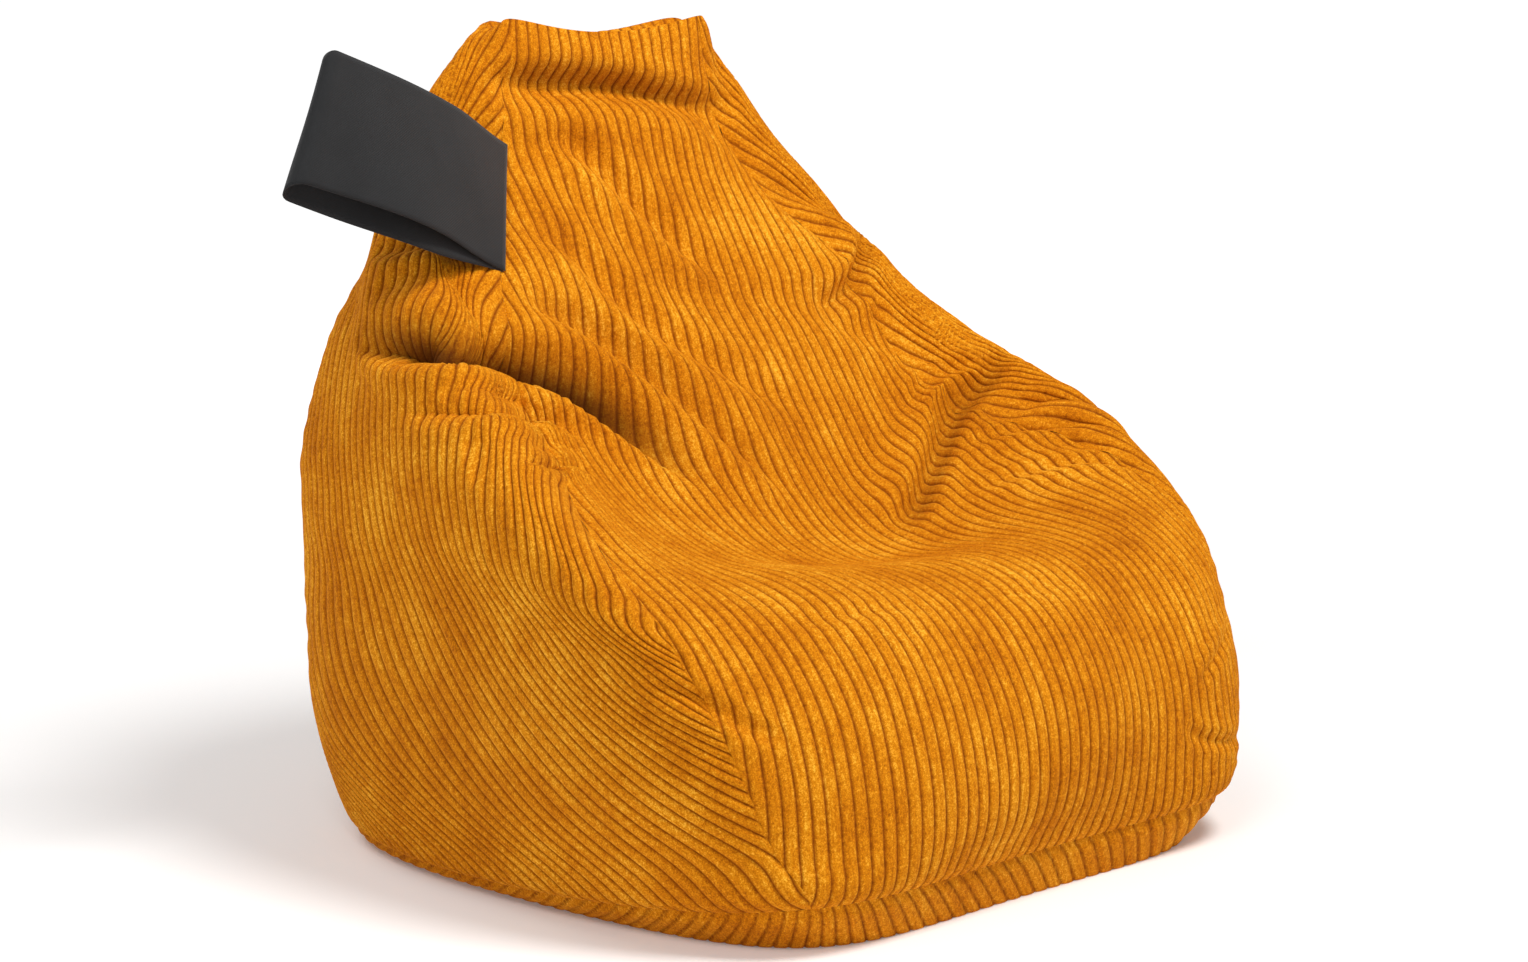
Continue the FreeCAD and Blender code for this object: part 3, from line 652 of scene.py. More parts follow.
def gore(name, middle, mirror=1, leaning=False):
    """One side of the cover with its wales as real ridges, cut exactly at the seams."""
    rows = int(round((TOP_HEIGHT - BASE_HEIGHT) / ROW_STEP)) + 1
    heights = np.linspace(BASE_HEIGHT, TOP_HEIGHT, rows)
    dense = (middle - 1) * STEP + np.linspace(0, 2 * STEP, 181)
    ring = net(heights, dense)
    arc = np.linalg.norm(np.diff(ring, axis=1), axis=2)
    arc = np.concatenate([np.zeros((rows, 1)), np.cumsum(arc, axis=1)], axis=1)
    arc -= arc[:, 90:91]
    path = np.zeros(rows)
    squeeze = np.ones(rows)
    if leaning:
        path, squeeze = lean_fields(heights)
        path = path * mirror
    low_u, high_u = arc[:, 0], arc[:, -1]

    def turned(place):
        if not leaning:
            return 0.0
        from_seam = place - low_u[:, None] if mirror > 0 else high_u[:, None] - place
        return mirror * edge_turn(heights, from_seam)

    low_gap = np.zeros(rows)
    high_gap = np.zeros(rows)
    if middle == RIGHT:
        low_gap = ZIP_EDGE * zip_gap(ring[:, 0])
    if middle == BACK:
        high_gap = ZIP_EDGE * zip_gap(ring[:, -1])
    edges = arc[:, [0, -1]]
    edge_phi = (edges - path[:, None] - turned(edges)) * squeeze[:, None]
    first = int(math.floor(edge_phi[:, 0].min() / WALE)) - 1
    last = int(math.ceil(edge_phi[:, 1].max() / WALE)) + 1
    columns = (np.arange(first, last)[:, None] + WALE_COLUMNS).ravel() * WALE
    straight = path[:, None] + columns / squeeze[:, None]
    raw = straight
    for _ in range(12):
        raw = straight + turned(raw)
    left_edge = (low_u + low_gap)[:, None]
    right_edge = (high_u - high_gap)[:, None]
    at_low = raw <= left_edge + 1e-4
    at_high = raw >= right_edge - 1e-4
    place = np.clip(raw, left_edge, right_edge)
    angles = np.array([np.interp(place[i], arc[i], dense) for i in range(rows)])
    points, normals = on_skin(heights, angles)
    phi = (place - path[:, None] - turned(place)) * squeeze[:, None]
    to_low = place - low_u[:, None]
    to_high = high_u[:, None] - place
    to_seam = np.minimum(to_low, to_high)
    to_end = np.minimum(heights - BASE_HEIGHT, TOP_HEIGHT - heights)[:, None]
    to_edge = np.minimum(to_seam, to_end)
    profile = wale_profile(phi)
    out = RELIEF * (profile - .5) * smooth_step(to_edge, -.002, .004)
    dive = np.maximum(SEAM_DIVE * bump(to_seam, SEAM_REACH), END_DIVE * bump(to_end, END_REACH))
    # the sewn edges pucker a little, and more where the cloth is slack
    along = np.where(to_low < to_high, 1.0, 2.0) * 7 + heights[:, None]
    ripple = np.sin(along * TURN / RIPPLE_LENGTH + 2.1 * np.sin(along * 23))
    ripple *= np.sin(along * 17 + middle)
    out += RIPPLE_DEPTH * ripple * bump(to_seam - RIPPLE_PLACE, RIPPLE_WIDTH)
    if middle in (RIGHT, BACK):
        zip_side = to_low if middle == RIGHT else to_high
        window = zip_gap(points)
        near = smooth_step(LIP_WIDTH - zip_side, 0, LIP_WIDTH)
        dive = dive * (1 - window * (zip_side < ZIP_MARGIN))
        lip = LIP_LIFT * near - STITCH_DIP * bump(zip_side - ZIP_EDGE, STITCH_WIDTH)
        out = out * (1 - .6 * window * near) + window * lip
    points = points + normals * (out - dive)[..., None]
    faces, used = welded_faces(at_low, at_high)
    made = make_mesh(name, points.reshape(-1, 3)[used], faces)
    cloth = np.stack([phi + middle, np.broadcast_to(heights[:, None], phi.shape), profile], -1)
    set_vectors(made, "cloth", cloth.reshape(-1, 3)[used])
    # painted shade of the deep creases, kept on each point for the cloth colour
    shade = sample(fold_painted_shade[..., None], heights, angles)[..., 0]
    attribute = made.data.attributes.new("crease", "FLOAT", "POINT")
    attribute.data.foreach_set("value", shade.ravel()[used].astype(np.float32))
    return made


BASE_SLANT = math.radians(42)
FLOOR_GROOVE = .0014


def base_panel(name):
    """The panel under the bag. It turns up at its rim, its wales slanting, and lies flat inside."""
    rim_rows, inner_rows, columns = 12, 22, 1100
    rim_heights = np.linspace(BASE_HEIGHT, 0, rim_rows)
    points, normals = on_skin(rim_heights, round_angles(rim_rows, columns))
    foot = points[-1]
    outward = unit(np.stack([normals[-1][:, 0], normals[-1][:, 1], np.zeros(columns)], -1))
    plan = foot + outward * rim_heights[:, None, None]
    slant = BASE_SLANT
    grain = np.array([math.cos(slant), -math.sin(slant), 0.0])
    phi = plan @ grain
    profile = wale_profile(phi)
    to_seam = (BASE_HEIGHT - rim_heights)[:, None]
    out = RELIEF * (profile - .5) * smooth_step(to_seam, -.001, .007)
    out -= END_DIVE * bump(to_seam, END_REACH)
    lifted = points + normals * out[..., None]
    lifted[..., 2] = np.maximum(lifted[..., 2], 0)
    centre = foot.mean(0) * np.array([1, 1, 0])
    inner = np.array([centre + (foot - centre) * share for share in np.linspace(.98, .0, inner_rows)])
    inner_phi = inner * np.array([1, 1, 0]) @ grain
    inner_profile = wale_profile(inner_phi)
    inner[..., 2] = FLOOR_GROOVE * (1 - inner_profile)
    grid = np.concatenate([lifted, inner])
    all_profile = np.concatenate([profile, inner_profile])
    all_phi = np.concatenate([phi, inner_phi])
    faces = [face[::-1] for face in grid_faces(len(grid), columns, closed=True)]
    made = make_mesh(name, grid, faces)
    along = grid @ np.array([math.sin(slant), math.cos(slant), 0.0])
    set_vectors(made, "cloth", np.stack([all_phi, along, all_profile], -1))
    return made


TOP_SINK = .004


def top_panel(name):
    """The small end panel between the four top edges, sunk a little between them."""
    across, deep = 150, 40

    def arc(start, end, count):
        angles = np.linspace(start, end, count) * STEP
        points, normals = on_skin(np.array([TOP_HEIGHT]), angles[None])
        return points[0] - normals[0] * END_DIVE

    front = arc(FRONT_LEFT, -FRONT_LEFT, across)
    back = arc(BACK_LEFT, BACK_RIGHT, across)
    left = arc(FRONT_LEFT, BACK_LEFT, deep)
    right = arc(-FRONT_LEFT, BACK_RIGHT - STEPS, deep)
    u = np.linspace(0, 1, across)[None, :, None]
    v = np.linspace(0, 1, deep)[:, None, None]
    grid = front[None] * (1 - v) + back[None] * v + left[:, None] * (1 - u) + right[:, None] * u
    grid = grid - (front[0] * (1 - u) + front[-1] * u) * (1 - v)
    grid = grid - (back[0] * (1 - u) + back[-1] * u) * v
    inside = (16 * u * (1 - u) * v * (1 - v))[..., 0]
    grid[..., 2] -= TOP_SINK * np.sqrt(np.clip(inside, 0, 1))
    phi = grid[..., 0]
    profile = wale_profile(phi)
    grid[..., 2] += RELIEF * (profile - .5) * smooth_step(inside, 0, .3)
    made = make_mesh(name, grid, grid_faces(deep, across))
    set_vectors(made, "cloth", np.stack([phi + 3, grid[..., 1], profile], -1))
    return made


# ---- materials
def new_material(name):
    made = bpy.data.materials.new(name)
    made.use_nodes = True
    made.node_tree.nodes.clear()
    return made


class Shader:
    """A short way to write a node tree: add() makes a node, and inputs take values or outputs."""

    def __init__(self, name):
        self.material = new_material(name)
        self.tree = self.material.node_tree

    def put(self, socket, value):
        if isinstance(value, bpy.types.NodeSocket):
            self.tree.links.new(value, socket)
        else:
            socket.default_value = value

    def add(self, kind, inputs=None, **settings):
        node = self.tree.nodes.new("ShaderNode" + kind)
        for key, value in settings.items():
            setattr(node, key, value)
        for key, value in (inputs or {}).items():
            self.put(node.inputs[key], value)
        return node

    def math(self, operation, *values):
        inputs = dict(enumerate(values))
        return self.add("Math", inputs, operation=operation).outputs[0]

    def mix(self, factor, first, second, blend="MIX"):
        node = self.add("Mix", data_type="RGBA", blend_type=blend)
        for place, value in ((0, factor), (6, first), (7, second)):
            self.put(node.inputs[place], value)
        return node.outputs[2]

    def ramp(self, value, stops):
        node = self.add("ValToRGB", {0: value})
        ramp = node.color_ramp
        while len(ramp.elements) < len(stops):
            ramp.elements.new(.5)
        for element, (place, colour) in zip(ramp.elements, stops):
            element.position = place
            element.color = colour if len(colour) == 4 else (*colour, 1)
        return node.outputs[0]

    def grey(self, value, low, high, out_low=0.0, out_high=1.0):
        inputs = {0: value, 1: low, 2: high, 3: out_low, 4: out_high}
        return self.add("MapRange", inputs).outputs[0]

    def noise(self, vector, scale, detail=2.0, roughness=.5):
        inputs = {"Vector": vector, "Scale": scale, "Detail": detail, "Roughness": roughness}
        return self.add("TexNoise", inputs).outputs[0]

    def stretched(self, vector, scale):
        return self.add("Mapping", {"Vector": vector, "Scale": scale}).outputs[0]

    def object_place(self):
        return self.add("TexCoord").outputs["Object"]

    def bump(self, height, strength, distance):
        inputs = {"Height": height, "Strength": strength, "Distance": distance}
        return self.add("Bump", inputs).outputs[0]

    def finish(self, **inputs):
        named = {key.replace("_", " "): value for key, value in inputs.items()}
        surface = self.add("BsdfPrincipled", named)
        self.add("OutputMaterial", {"Surface": surface.outputs[0]})
        return self.material


def srgb(red, green, blue):
    def linear(value):
        value /= 255
        return value / 12.92 if value <= .04045 else ((value + .055) / 1.055) ** 2.4
    return linear(red), linear(green), linear(blue), 1.0


def corduroy():
    """Mustard corduroy: a mottled cut pile on the wales; the grooves darker, partly the ground cloth
    and partly painted shade; painted shade in the deep creases.
    """
    s = Shader("corduroy")
    cloth = s.add("Attribute", attribute_name="cloth").outputs["Vector"]
    parts = s.add("SeparateXYZ", {0: cloth})
    profile = parts.outputs[2]
    place = s.object_place()
    speckle = s.noise(place, 640, 4.0, .75)
    fleck = s.noise(place, 230, 2.0, .6)
    streak = s.noise(s.stretched(cloth, (260, 16, 0)), 1.0, 3.0, .6)
    patch = s.noise(place, 11.0, 4.0, .6)
    tone = s.math("ADD", s.grey(speckle, .32, .68, -1.05, 1.05), s.grey(fleck, .3, .7, -.50, .50))
    tone = s.math("ADD", tone, s.grey(streak, .3, .7, -.45, .45))
    tone = s.math("ADD", tone, s.grey(patch, .32, .68, -.50, .50))
    tone = s.grey(tone, -1.6, 1.6)
    pile = s.ramp(tone, (
        (0.0, srgb(146, 72, 0)),
        (.35, srgb(196, 112, 4)),
        (.62, srgb(219, 137, 12)),
        (1.0, srgb(255, 192, 60)),
    ))
    # the grooves get a darker colour than the crowns: partly the ground cloth between the wales, partly
    # painted shade in the recess
    ground_and_groove_shade = s.mix(s.grey(fleck, .3, .7), srgb(122, 57, 0), srgb(160, 82, 4))
    pile_over_groove_shade = s.math("ADD", profile, s.grey(speckle, .3, .7, -.12, .12))
    colour = s.mix(s.grey(pile_over_groove_shade, .10, .80), ground_and_groove_shade, pile)
    # painted shade: the cloth colour goes towards dark brown in the deep creases of the folds
    crease = s.add("Attribute", attribute_name="crease").outputs["Fac"]
    colour = s.mix(s.math("MULTIPLY", crease, .92), colour, srgb(64, 28, 3))
    height = s.math("ADD", s.math("MULTIPLY", speckle, .6), s.math("MULTIPLY", fleck, .5))
    return s.finish(
        Base_Color=colour,
        Roughness=.92,
        Specular_IOR_Level=.10,
        Sheen_Weight=.10,
        Sheen_Roughness=.5,
        Sheen_Tint=srgb(255, 170, 50),
        Normal=s.bump(height, .55, .0016),
    )


def twill(name, dark, light, pitch, sheen=.15, roughness=.8):
    """Plain woven cloth: fine diagonal ribs with a little colour from thread to thread."""
    s = Shader(name)
    place = s.object_place()
    turned = s.add("Mapping", {"Vector": place, "Rotation": (0, .6, .7)}).outputs[0]
    rib = s.add("TexWave", {"Vector": turned, "Scale": .05 * TURN / pitch, "Distortion": .6,
                            "Detail": 1.0, "Detail Scale": 2.0}).outputs[1]
    thread = s.noise(place, 900, 2.0, .6)
    cloud = s.noise(place, 25, 3.0, .5)
    shade = s.math("ADD", s.math("MULTIPLY", rib, .45), s.math("MULTIPLY", thread, .35))
    shade = s.math("ADD", shade, s.math("MULTIPLY", cloud, .35))
    colour = s.mix(s.grey(shade, .3, .85), dark, light)
    return s.finish(
        Base_Color=colour,
        Roughness=roughness,
        Specular_IOR_Level=.3,
        Sheen_Weight=sheen,
        Normal=s.bump(s.math("ADD", rib, s.math("MULTIPLY", thread, .6)), .35, .0004),
    )


def hard(name, dark, light, roughness, metallic=0.0, scale=300):
    """Plastic or plated metal with faint rubbing marks."""
    s = Shader(name)
    place = s.object_place()
    marks = s.noise(place, scale, 4.0, .6)
    wear = s.noise(place, scale / 6, 2.0, .5)
    return s.finish(
        Base_Color=s.mix(s.grey(wear, .35, .65), dark, light),
        Metallic=metallic,
        Roughness=s.grey(marks, .3, .7, roughness - .08, roughness + .1),
        Normal=s.bump(marks, .15, .0002),
    )


CORDUROY = corduroy()
TAPE_CLOTH = twill("binding_tape", srgb(150, 92, 22), srgb(190, 124, 40), .0012)
LINER_CLOTH = twill("liner_cloth", srgb(206, 204, 196), srgb(236, 234, 228), .0008)
LABEL_CLOTH = twill("label_ribbon", srgb(15, 15, 17), srgb(33, 34, 36), .0010, sheen=.10)
SATIN = twill("care_ribbon", srgb(225, 223, 216), srgb(247, 246, 242), .0006, sheen=.3, roughness=.5)
ZIP_CLOTH = twill("zip_tape", srgb(168, 100, 16), srgb(203, 130, 34), .0009)
ZIP_COIL = hard("zip_coil", srgb(150, 84, 10), srgb(186, 112, 22), .42)
ZIP_METAL = hard("zip_metal", srgb(120, 116, 106), srgb(178, 172, 158), .34, metallic=1.0)
BEADS = hard("beads", srgb(228, 228, 226), srgb(248, 248, 246), .65, scale=180)


def dress(made, material, body="bag", stands_for=()):
    made.data.materials.clear()
    made.data.materials.append(material)
    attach(made, body)
    if stands_for:
        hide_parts(*stands_for)
    return made


# ---- the cover
def cover_piece(made):
    dress(made, CORDUROY, stands_for=(made.name.replace("_cloth", ""),))
    return made


front_cloth = gore("front_panel_cloth", FRONT)
left_cloth = gore("left_panel_cloth", LEFT, leaning=True)
back_cloth = gore("back_panel_cloth", BACK)
right_cloth = gore("right_panel_cloth", RIGHT, mirror=-1, leaning=True)
base_cloth = base_panel("base_panel_cloth")
top_cloth = top_panel("top_panel_cloth")


# ---- inside the cover
# The inner pieces end below this height. Depths are inside the simpler surface.
INNER_TOP_Z = .796
LINER_DEPTH, FILLING_DEPTH = .0110, .0150
TAPE_FACE_DEPTH, TAPE_BACK_DEPTH = .0078, .0085
HALF_TAPE = .011
BEAD_DENT = .0012


def inner_bag(depth, rows, columns):
    """The shape of the liner or the filling: inside the cover, with a flat foot."""
    heights = np.linspace(.004, TOP_HEIGHT - .02, rows)
    grid = under_core(heights, round_angles(rows, columns), depth)
    grid[..., 2] = np.clip(grid[..., 2], depth, INNER_TOP_Z - depth)
    return grid


def filling(name):
    """The beads as one mass, dented between them except on its foot."""
    grid = inner_bag(FILLING_DEPTH, 150, 400)
    normals = grid_normals(grid)
    dimple = np.abs(waves(grid, (.006, .011), 40, 9))
    free = grid[..., 2] > .02
    return capped(name, grid - normals * (BEAD_DENT * dimple * free)[..., None])


def tape_faces(heights, angles):
    return [under_core(heights, angles, depth) for depth in (TAPE_FACE_DEPTH, TAPE_BACK_DEPTH)]


def seam_tape(name, control):
    """Binding sewn over the inside of a corner seam, a thin strip with two faces."""
    seam, step = control * STEP, .002
    heights = np.linspace(BASE_HEIGHT + .02, TOP_HEIGHT - .03, 150)
    close = net(heights, np.array([seam - step, seam + step]))
    per_radian = np.linalg.norm(close[:, 1] - close[:, 0], axis=1) / (2 * step)
    angles = seam + (HALF_TAPE / per_radian)[:, None] * np.linspace(-1, 1, 7)
    outer, inner = tape_faces(heights, angles)
    return capped_tube(name, np.concatenate([outer, inner[:, ::-1]], axis=1))


def ring_tape(name, low, high):
    """Binding round the inside of the base seam or the top seam."""
    rows, columns = 5, 400
    outer, inner = tape_faces(np.linspace(low, high, rows), round_angles(rows, columns))
    grid = np.concatenate([outer, inner[::-1], outer[:1]])
    return make_mesh(name, grid, grid_faces(len(grid), columns, closed=True))


liner_cloth = capped("inner_liner_cloth", inner_bag(LINER_DEPTH, 120, 300))
beads = filling("bean_filling_beads")
CORNERS = {
    "front_left": FRONT_LEFT,
    "back_left": BACK_LEFT,
    "back_right": BACK_RIGHT,
    "front_right": FRONT_RIGHT,
}
tapes = {place: seam_tape("seam_tape_" + place, control) for place, control in CORNERS.items()}
tapes["base"] = ring_tape("seam_tape_base", BASE_HEIGHT * .45, BASE_HEIGHT + .006)
tapes["top"] = ring_tape("seam_tape_top", TOP_HEIGHT - .022, TOP_HEIGHT - .010)

# ---- labels
LABEL_LENGTH, LABEL_WIDTH, LABEL_ROOT_WIDTH = .272, .130, .154
LABEL_LOW_Z = .578
LABEL_STAND = .006
LABEL_RISE, LABEL_LEAN, LABEL_BOW = .090, .043, .014
LABEL_CLOTH_THICKNESS = .0009
# how far the two layers slip past each other, half their gap at the seam and its growth to the fold
LABEL_SKEW, LABEL_CLOSED, LABEL_OPEN, LABEL_SWAY = .016, .0006, .0100, .0016


def seam_point(control, height, outward):
    """A point on a corner seam of the smooth cover, moved outward."""
    angle = control * STEP
    step = .0005
    around = net(np.array([height]), np.array([angle - step, angle, angle + step]))[0]
    rise = net(np.array([height - step, height + step]), np.array([angle]))[:, 0]
    normal = unit(np.cross(rise[1] - rise[0], around[2] - around[0]))
    return around[1] + normal * outward, np.linalg.norm(rise[1] - rise[0]) / (2 * step)


def height_at(control, z):
    heights = np.linspace(BASE_HEIGHT, TOP_HEIGHT, 4000)
    line = net(heights, np.array([control * STEP]))[:, 0, 2]
    return float(np.interp(z, line, heights))


def label_edges(shares):
    """Lower and upper edge of the label at shares of its length from the seam."""
    low_height = height_at(FRONT_LEFT, LABEL_LOW_Z)
    low_root, climb = seam_point(FRONT_LEFT, low_height, LABEL_STAND)
    high_root, _ = seam_point(FRONT_LEFT, low_height + LABEL_ROOT_WIDTH / climb, LABEL_STAND)
    reach = math.sqrt(LABEL_LENGTH ** 2 - LABEL_RISE ** 2)
    end_edge = np.array([LABEL_LEAN, 0, math.sqrt(LABEL_WIDTH ** 2 - LABEL_LEAN ** 2)])
    share = np.asarray(shares)[:, None]
    low = low_root + np.array([-reach, 0, LABEL_RISE]) * share
    low = low + np.array([0, -LABEL_BOW, 0]) * np.sin(math.pi * share)
    edge = (high_root - low_root) * (1 - share) + end_edge * share
    return low, low + edge


def folded_label(name):
    """A ribbon folded back on itself: sewn flat at the seam, with a round open loop at its end."""
    shares = np.linspace(-.02, .955, 46)
    low, high = label_edges(shares)
    ahead = label_edges(shares + .002)[0] - label_edges(shares - .002)[0]
    face = unit(np.cross(unit(ahead), unit(high - low)))
    # half the gap between the two layers: pressed together at the seam, open at the fold
    gap = LABEL_CLOSED + LABEL_OPEN * smooth_step(shares, .0, .80)
    part = np.linspace(0, 1, 26)
    # the loop gapes more at its lower edge than at its upper one
    gape = 1.25 - .75 * part
    middle = low[:, None] + (high - low)[:, None] * part[None, :, None]
    sway = LABEL_SWAY * np.sin(shares * 9.0)[:, None] * np.cos(part * 5.0)[None]
    offset = gap[:, None] * gape[None]
    front = middle + face[:, None] * (offset + sway)[..., None]
    back = middle - face[:, None] * (offset - sway)[..., None]
    slip = LABEL_SKEW * smooth_step(shares, -.05, .35)
    skew = unit(high - low)[:, None] * slip[:, None, None]
    back = back + skew * .6
    front = front - skew * .4
    # the round fold at the free end
    fold_steps = 9
    turn = np.linspace(0, math.pi, fold_steps + 2)[1:-1]
    centre = (front[-1] + back[-1]) / 2
    radius = (front[-1] - back[-1]) / 2
    outward = unit(ahead[-1]) * np.linalg.norm(radius, axis=-1, keepdims=True) * .9
    fold = np.array([centre + radius * math.cos(t) + outward * math.sin(t) for t in turn])
    strip = np.concatenate([front, fold, back[::-1]])
    normals = grid_normals_open(strip)
    return solid_strip(name, strip, strip - normals * LABEL_CLOTH_THICKNESS), strip, normals


def grid_normals_open(grid):
    return unit(np.cross(np.gradient(grid, axis=1), np.gradient(grid, axis=0)))


def stitch_line(name, points, normals, pitch, length, radius):
    """A row of stitches: short raised threads along a line."""
    steps = np.linalg.norm(np.diff(points, axis=0), axis=1)
    arc = np.concatenate([[0], np.cumsum(steps)])
    count = int(arc[-1] / pitch)
    rings, sides = 5, 6
    vertices, faces = [], []
    for i in range(count):
        ends = (i + .5) * pitch + np.linspace(-.5, .5, rings) * length
        line = np.array([[np.interp(e, arc, points[:, k]) for k in range(3)] for e in ends])
        lift = unit(np.array([np.interp(ends[2], arc, normals[:, k]) for k in range(3)]))
        way = unit(line[-1] - line[0])
        side = unit(np.cross(way, lift))
        for k, point in enumerate(line):
            arch = math.sin(math.pi * k / 4)
            size = radius * (.45 + .55 * arch)
            for corner in range(sides):
                a = corner * TURN / sides
                raised = lift * (radius * .8 * arch + size * math.sin(a))
                vertices.append(point + raised + side * size * math.cos(a))
        base = len(vertices) - rings * sides
        for k in range(rings - 1):
            ring = base + k * sides
            for corner in range(sides):
                after = (corner + 1) % sides
                faces.append((ring + corner, ring + after, ring + sides + after, ring + sides + corner))
        faces.append(tuple(base + corner for corner in range(sides - 1, -1, -1)))
        faces.append(tuple(base + (rings - 1) * sides + corner for corner in range(sides)))
    return make_mesh(name, vertices, faces)


side_label, label_strip, label_normals = folded_label("side_label_ribbon")
STITCH_ROW = 3
label_stitches = stitch_line(
    "side_label_stitches", label_strip[STITCH_ROW], label_normals[STITCH_ROW], .0042, .0030, .00035)

# ---- zip and care label
# The zip stands upright on the seam: millimetres across it, outward from it and along it.
ZIP_ACROSS = np.array([ZIP_OUT[1], -ZIP_OUT[0], 0.0])
ZIP_LENGTH, ZIP_SPLIT = 230.0, .6
ZIP_SIDES = (("back", -1), ("side", 1))
TAPE_WIDTH, TAPE_LOW, TAPE_THICKNESS, TAPE_OVERHANG = 12.4, 1.8, .8, 12.0
COIL_WIDTH, COIL_HEIGHT, COIL_PITCH, COIL_THREAD = 2.6, 2.2, 1.7, .42
STOP_LENGTH, STOP_GAP = 3.0, .3
SLIDER_LENGTH, SLIDER_WIDTH, SLIDER_LOW, SLIDER_PLATE = 11.0, 8.4, .5, .9
SLIDER_WEB, SLIDER_TOP_LOW, SLIDER_TOP_PLATE, SLIDER_END_GAP = .6, 5.1, 1.4, 2.0
BRIDGE_WIDTH, BRIDGE_LENGTH, BRIDGE_HEIGHT, BRIDGE_BAR = 2.0, 8.0, 3.4, 1.1
PIN_RADIUS, EYE_GAP, PULL_ARM, TAB_LENGTH, TAB_THICKNESS = .6, .5, 1.0, 24.0, 1.2


def zip_points(local):
    local = np.asarray(local, float) / 1000
    up = np.array([0, 0, 1.0])
    return ZIP_ORIGIN + local[..., :1] * ZIP_ACROSS + local[..., 1:2] * ZIP_OUT + local[..., 2:] * up


def ribbed_tape(name, side):
    """Woven tape: thin, with fine ribs along it and a thicker beaded outer edge."""
    rows, columns = 260, 22
    long = np.linspace(-1, 1, rows) * (ZIP_LENGTH / 2 + TAPE_OVERHANG)
    part = np.linspace(0, 1, columns)
    across = side * (ZIP_SPLIT + TAPE_WIDTH * part)
    rib = .07 * np.cos(part * TURN * 6)[None] + .05 * np.sin(long * TURN / 2.1)[:, None]
    front = np.stack(np.broadcast_arrays(
        across[None], TAPE_LOW + TAPE_THICKNESS - .12 + rib, long[:, None]), -1)
    back = np.stack(np.broadcast_arrays(across[None], TAPE_LOW + .12 - rib, long[:, None]), -1)
    return solid_strip(name, zip_points(front), zip_points(back))


def coil(name, side):
    """A spiral of stiff thread sewn along the edge of the tape, one loop per tooth."""
    per_turn, sides = 14, 6
    turns = int(ZIP_LENGTH / COIL_PITCH) - 1
    t = np.linspace(0, turns * TURN, turns * per_turn)
    half = COIL_WIDTH / 2 - COIL_THREAD
    x = side * (ZIP_SPLIT + COIL_WIDTH / 2) + half * np.cos(t)
    y = TAPE_LOW + TAPE_THICKNESS + COIL_HEIGHT / 2 + (COIL_HEIGHT / 2 - COIL_THREAD) * np.sin(t)
    z = t / TURN * COIL_PITCH - turns * COIL_PITCH / 2 + side * COIL_PITCH / 4
    line = zip_points(np.stack([x, y, z], -1))
    return tube(name, line, COIL_THREAD / 1000, sides)


def tube(name, line, radius, sides):
    """A thread of round section along a line."""
    way = unit(np.gradient(line, axis=0))
    side = unit(np.cross(way, np.array([.13, .21, 1.0])))
    up = np.cross(way, side)
    turn = np.arange(sides) * TURN / sides
    spokes = side[:, None] * np.cos(turn)[:, None] + up[:, None] * np.sin(turn)[:, None]
    return turned_out(capped_tube(name, line[:, None] + radius * spokes))


def machined(name, boxes, round_off, pins=()):
    """One metal piece from boxes with rounded edges (low corner, sizes) and pins along X."""
    build = bmesh.new()
    for corner, sizes in boxes:
        middle = Vector(corner) + Vector(sizes) / 2
        made = bmesh.ops.create_cube(build, size=1.0)
        for vertex in made["verts"]:
            vertex.co = Vector([c * s for c, s in zip(vertex.co, sizes)]) + middle
        edges = list({edge for vertex in made["verts"] for edge in vertex.link_edges})
        offset = min(round_off, min(sizes) * .35)
        bmesh.ops.bevel(
            build, geom=edges, offset=offset, segments=3, profile=.5, affect="EDGES")
    for centre, radius, length in pins:
        made = bmesh.ops.create_cone(
            build, cap_ends=True, segments=20, radius1=radius, radius2=radius, depth=length)
        for vertex in made["verts"]:
            vertex.co = Vector((vertex.co.z, vertex.co.y, vertex.co.x)) + Vector(centre)
    for vertex in build.verts:
        vertex.co = zip_points(np.array([vertex.co]))[0]
    bmesh.ops.recalc_face_normals(build, faces=build.faces)
    mesh = bpy.data.meshes.new(name)
    build.to_mesh(mesh)
    build.free()
    return linked(name, mesh)


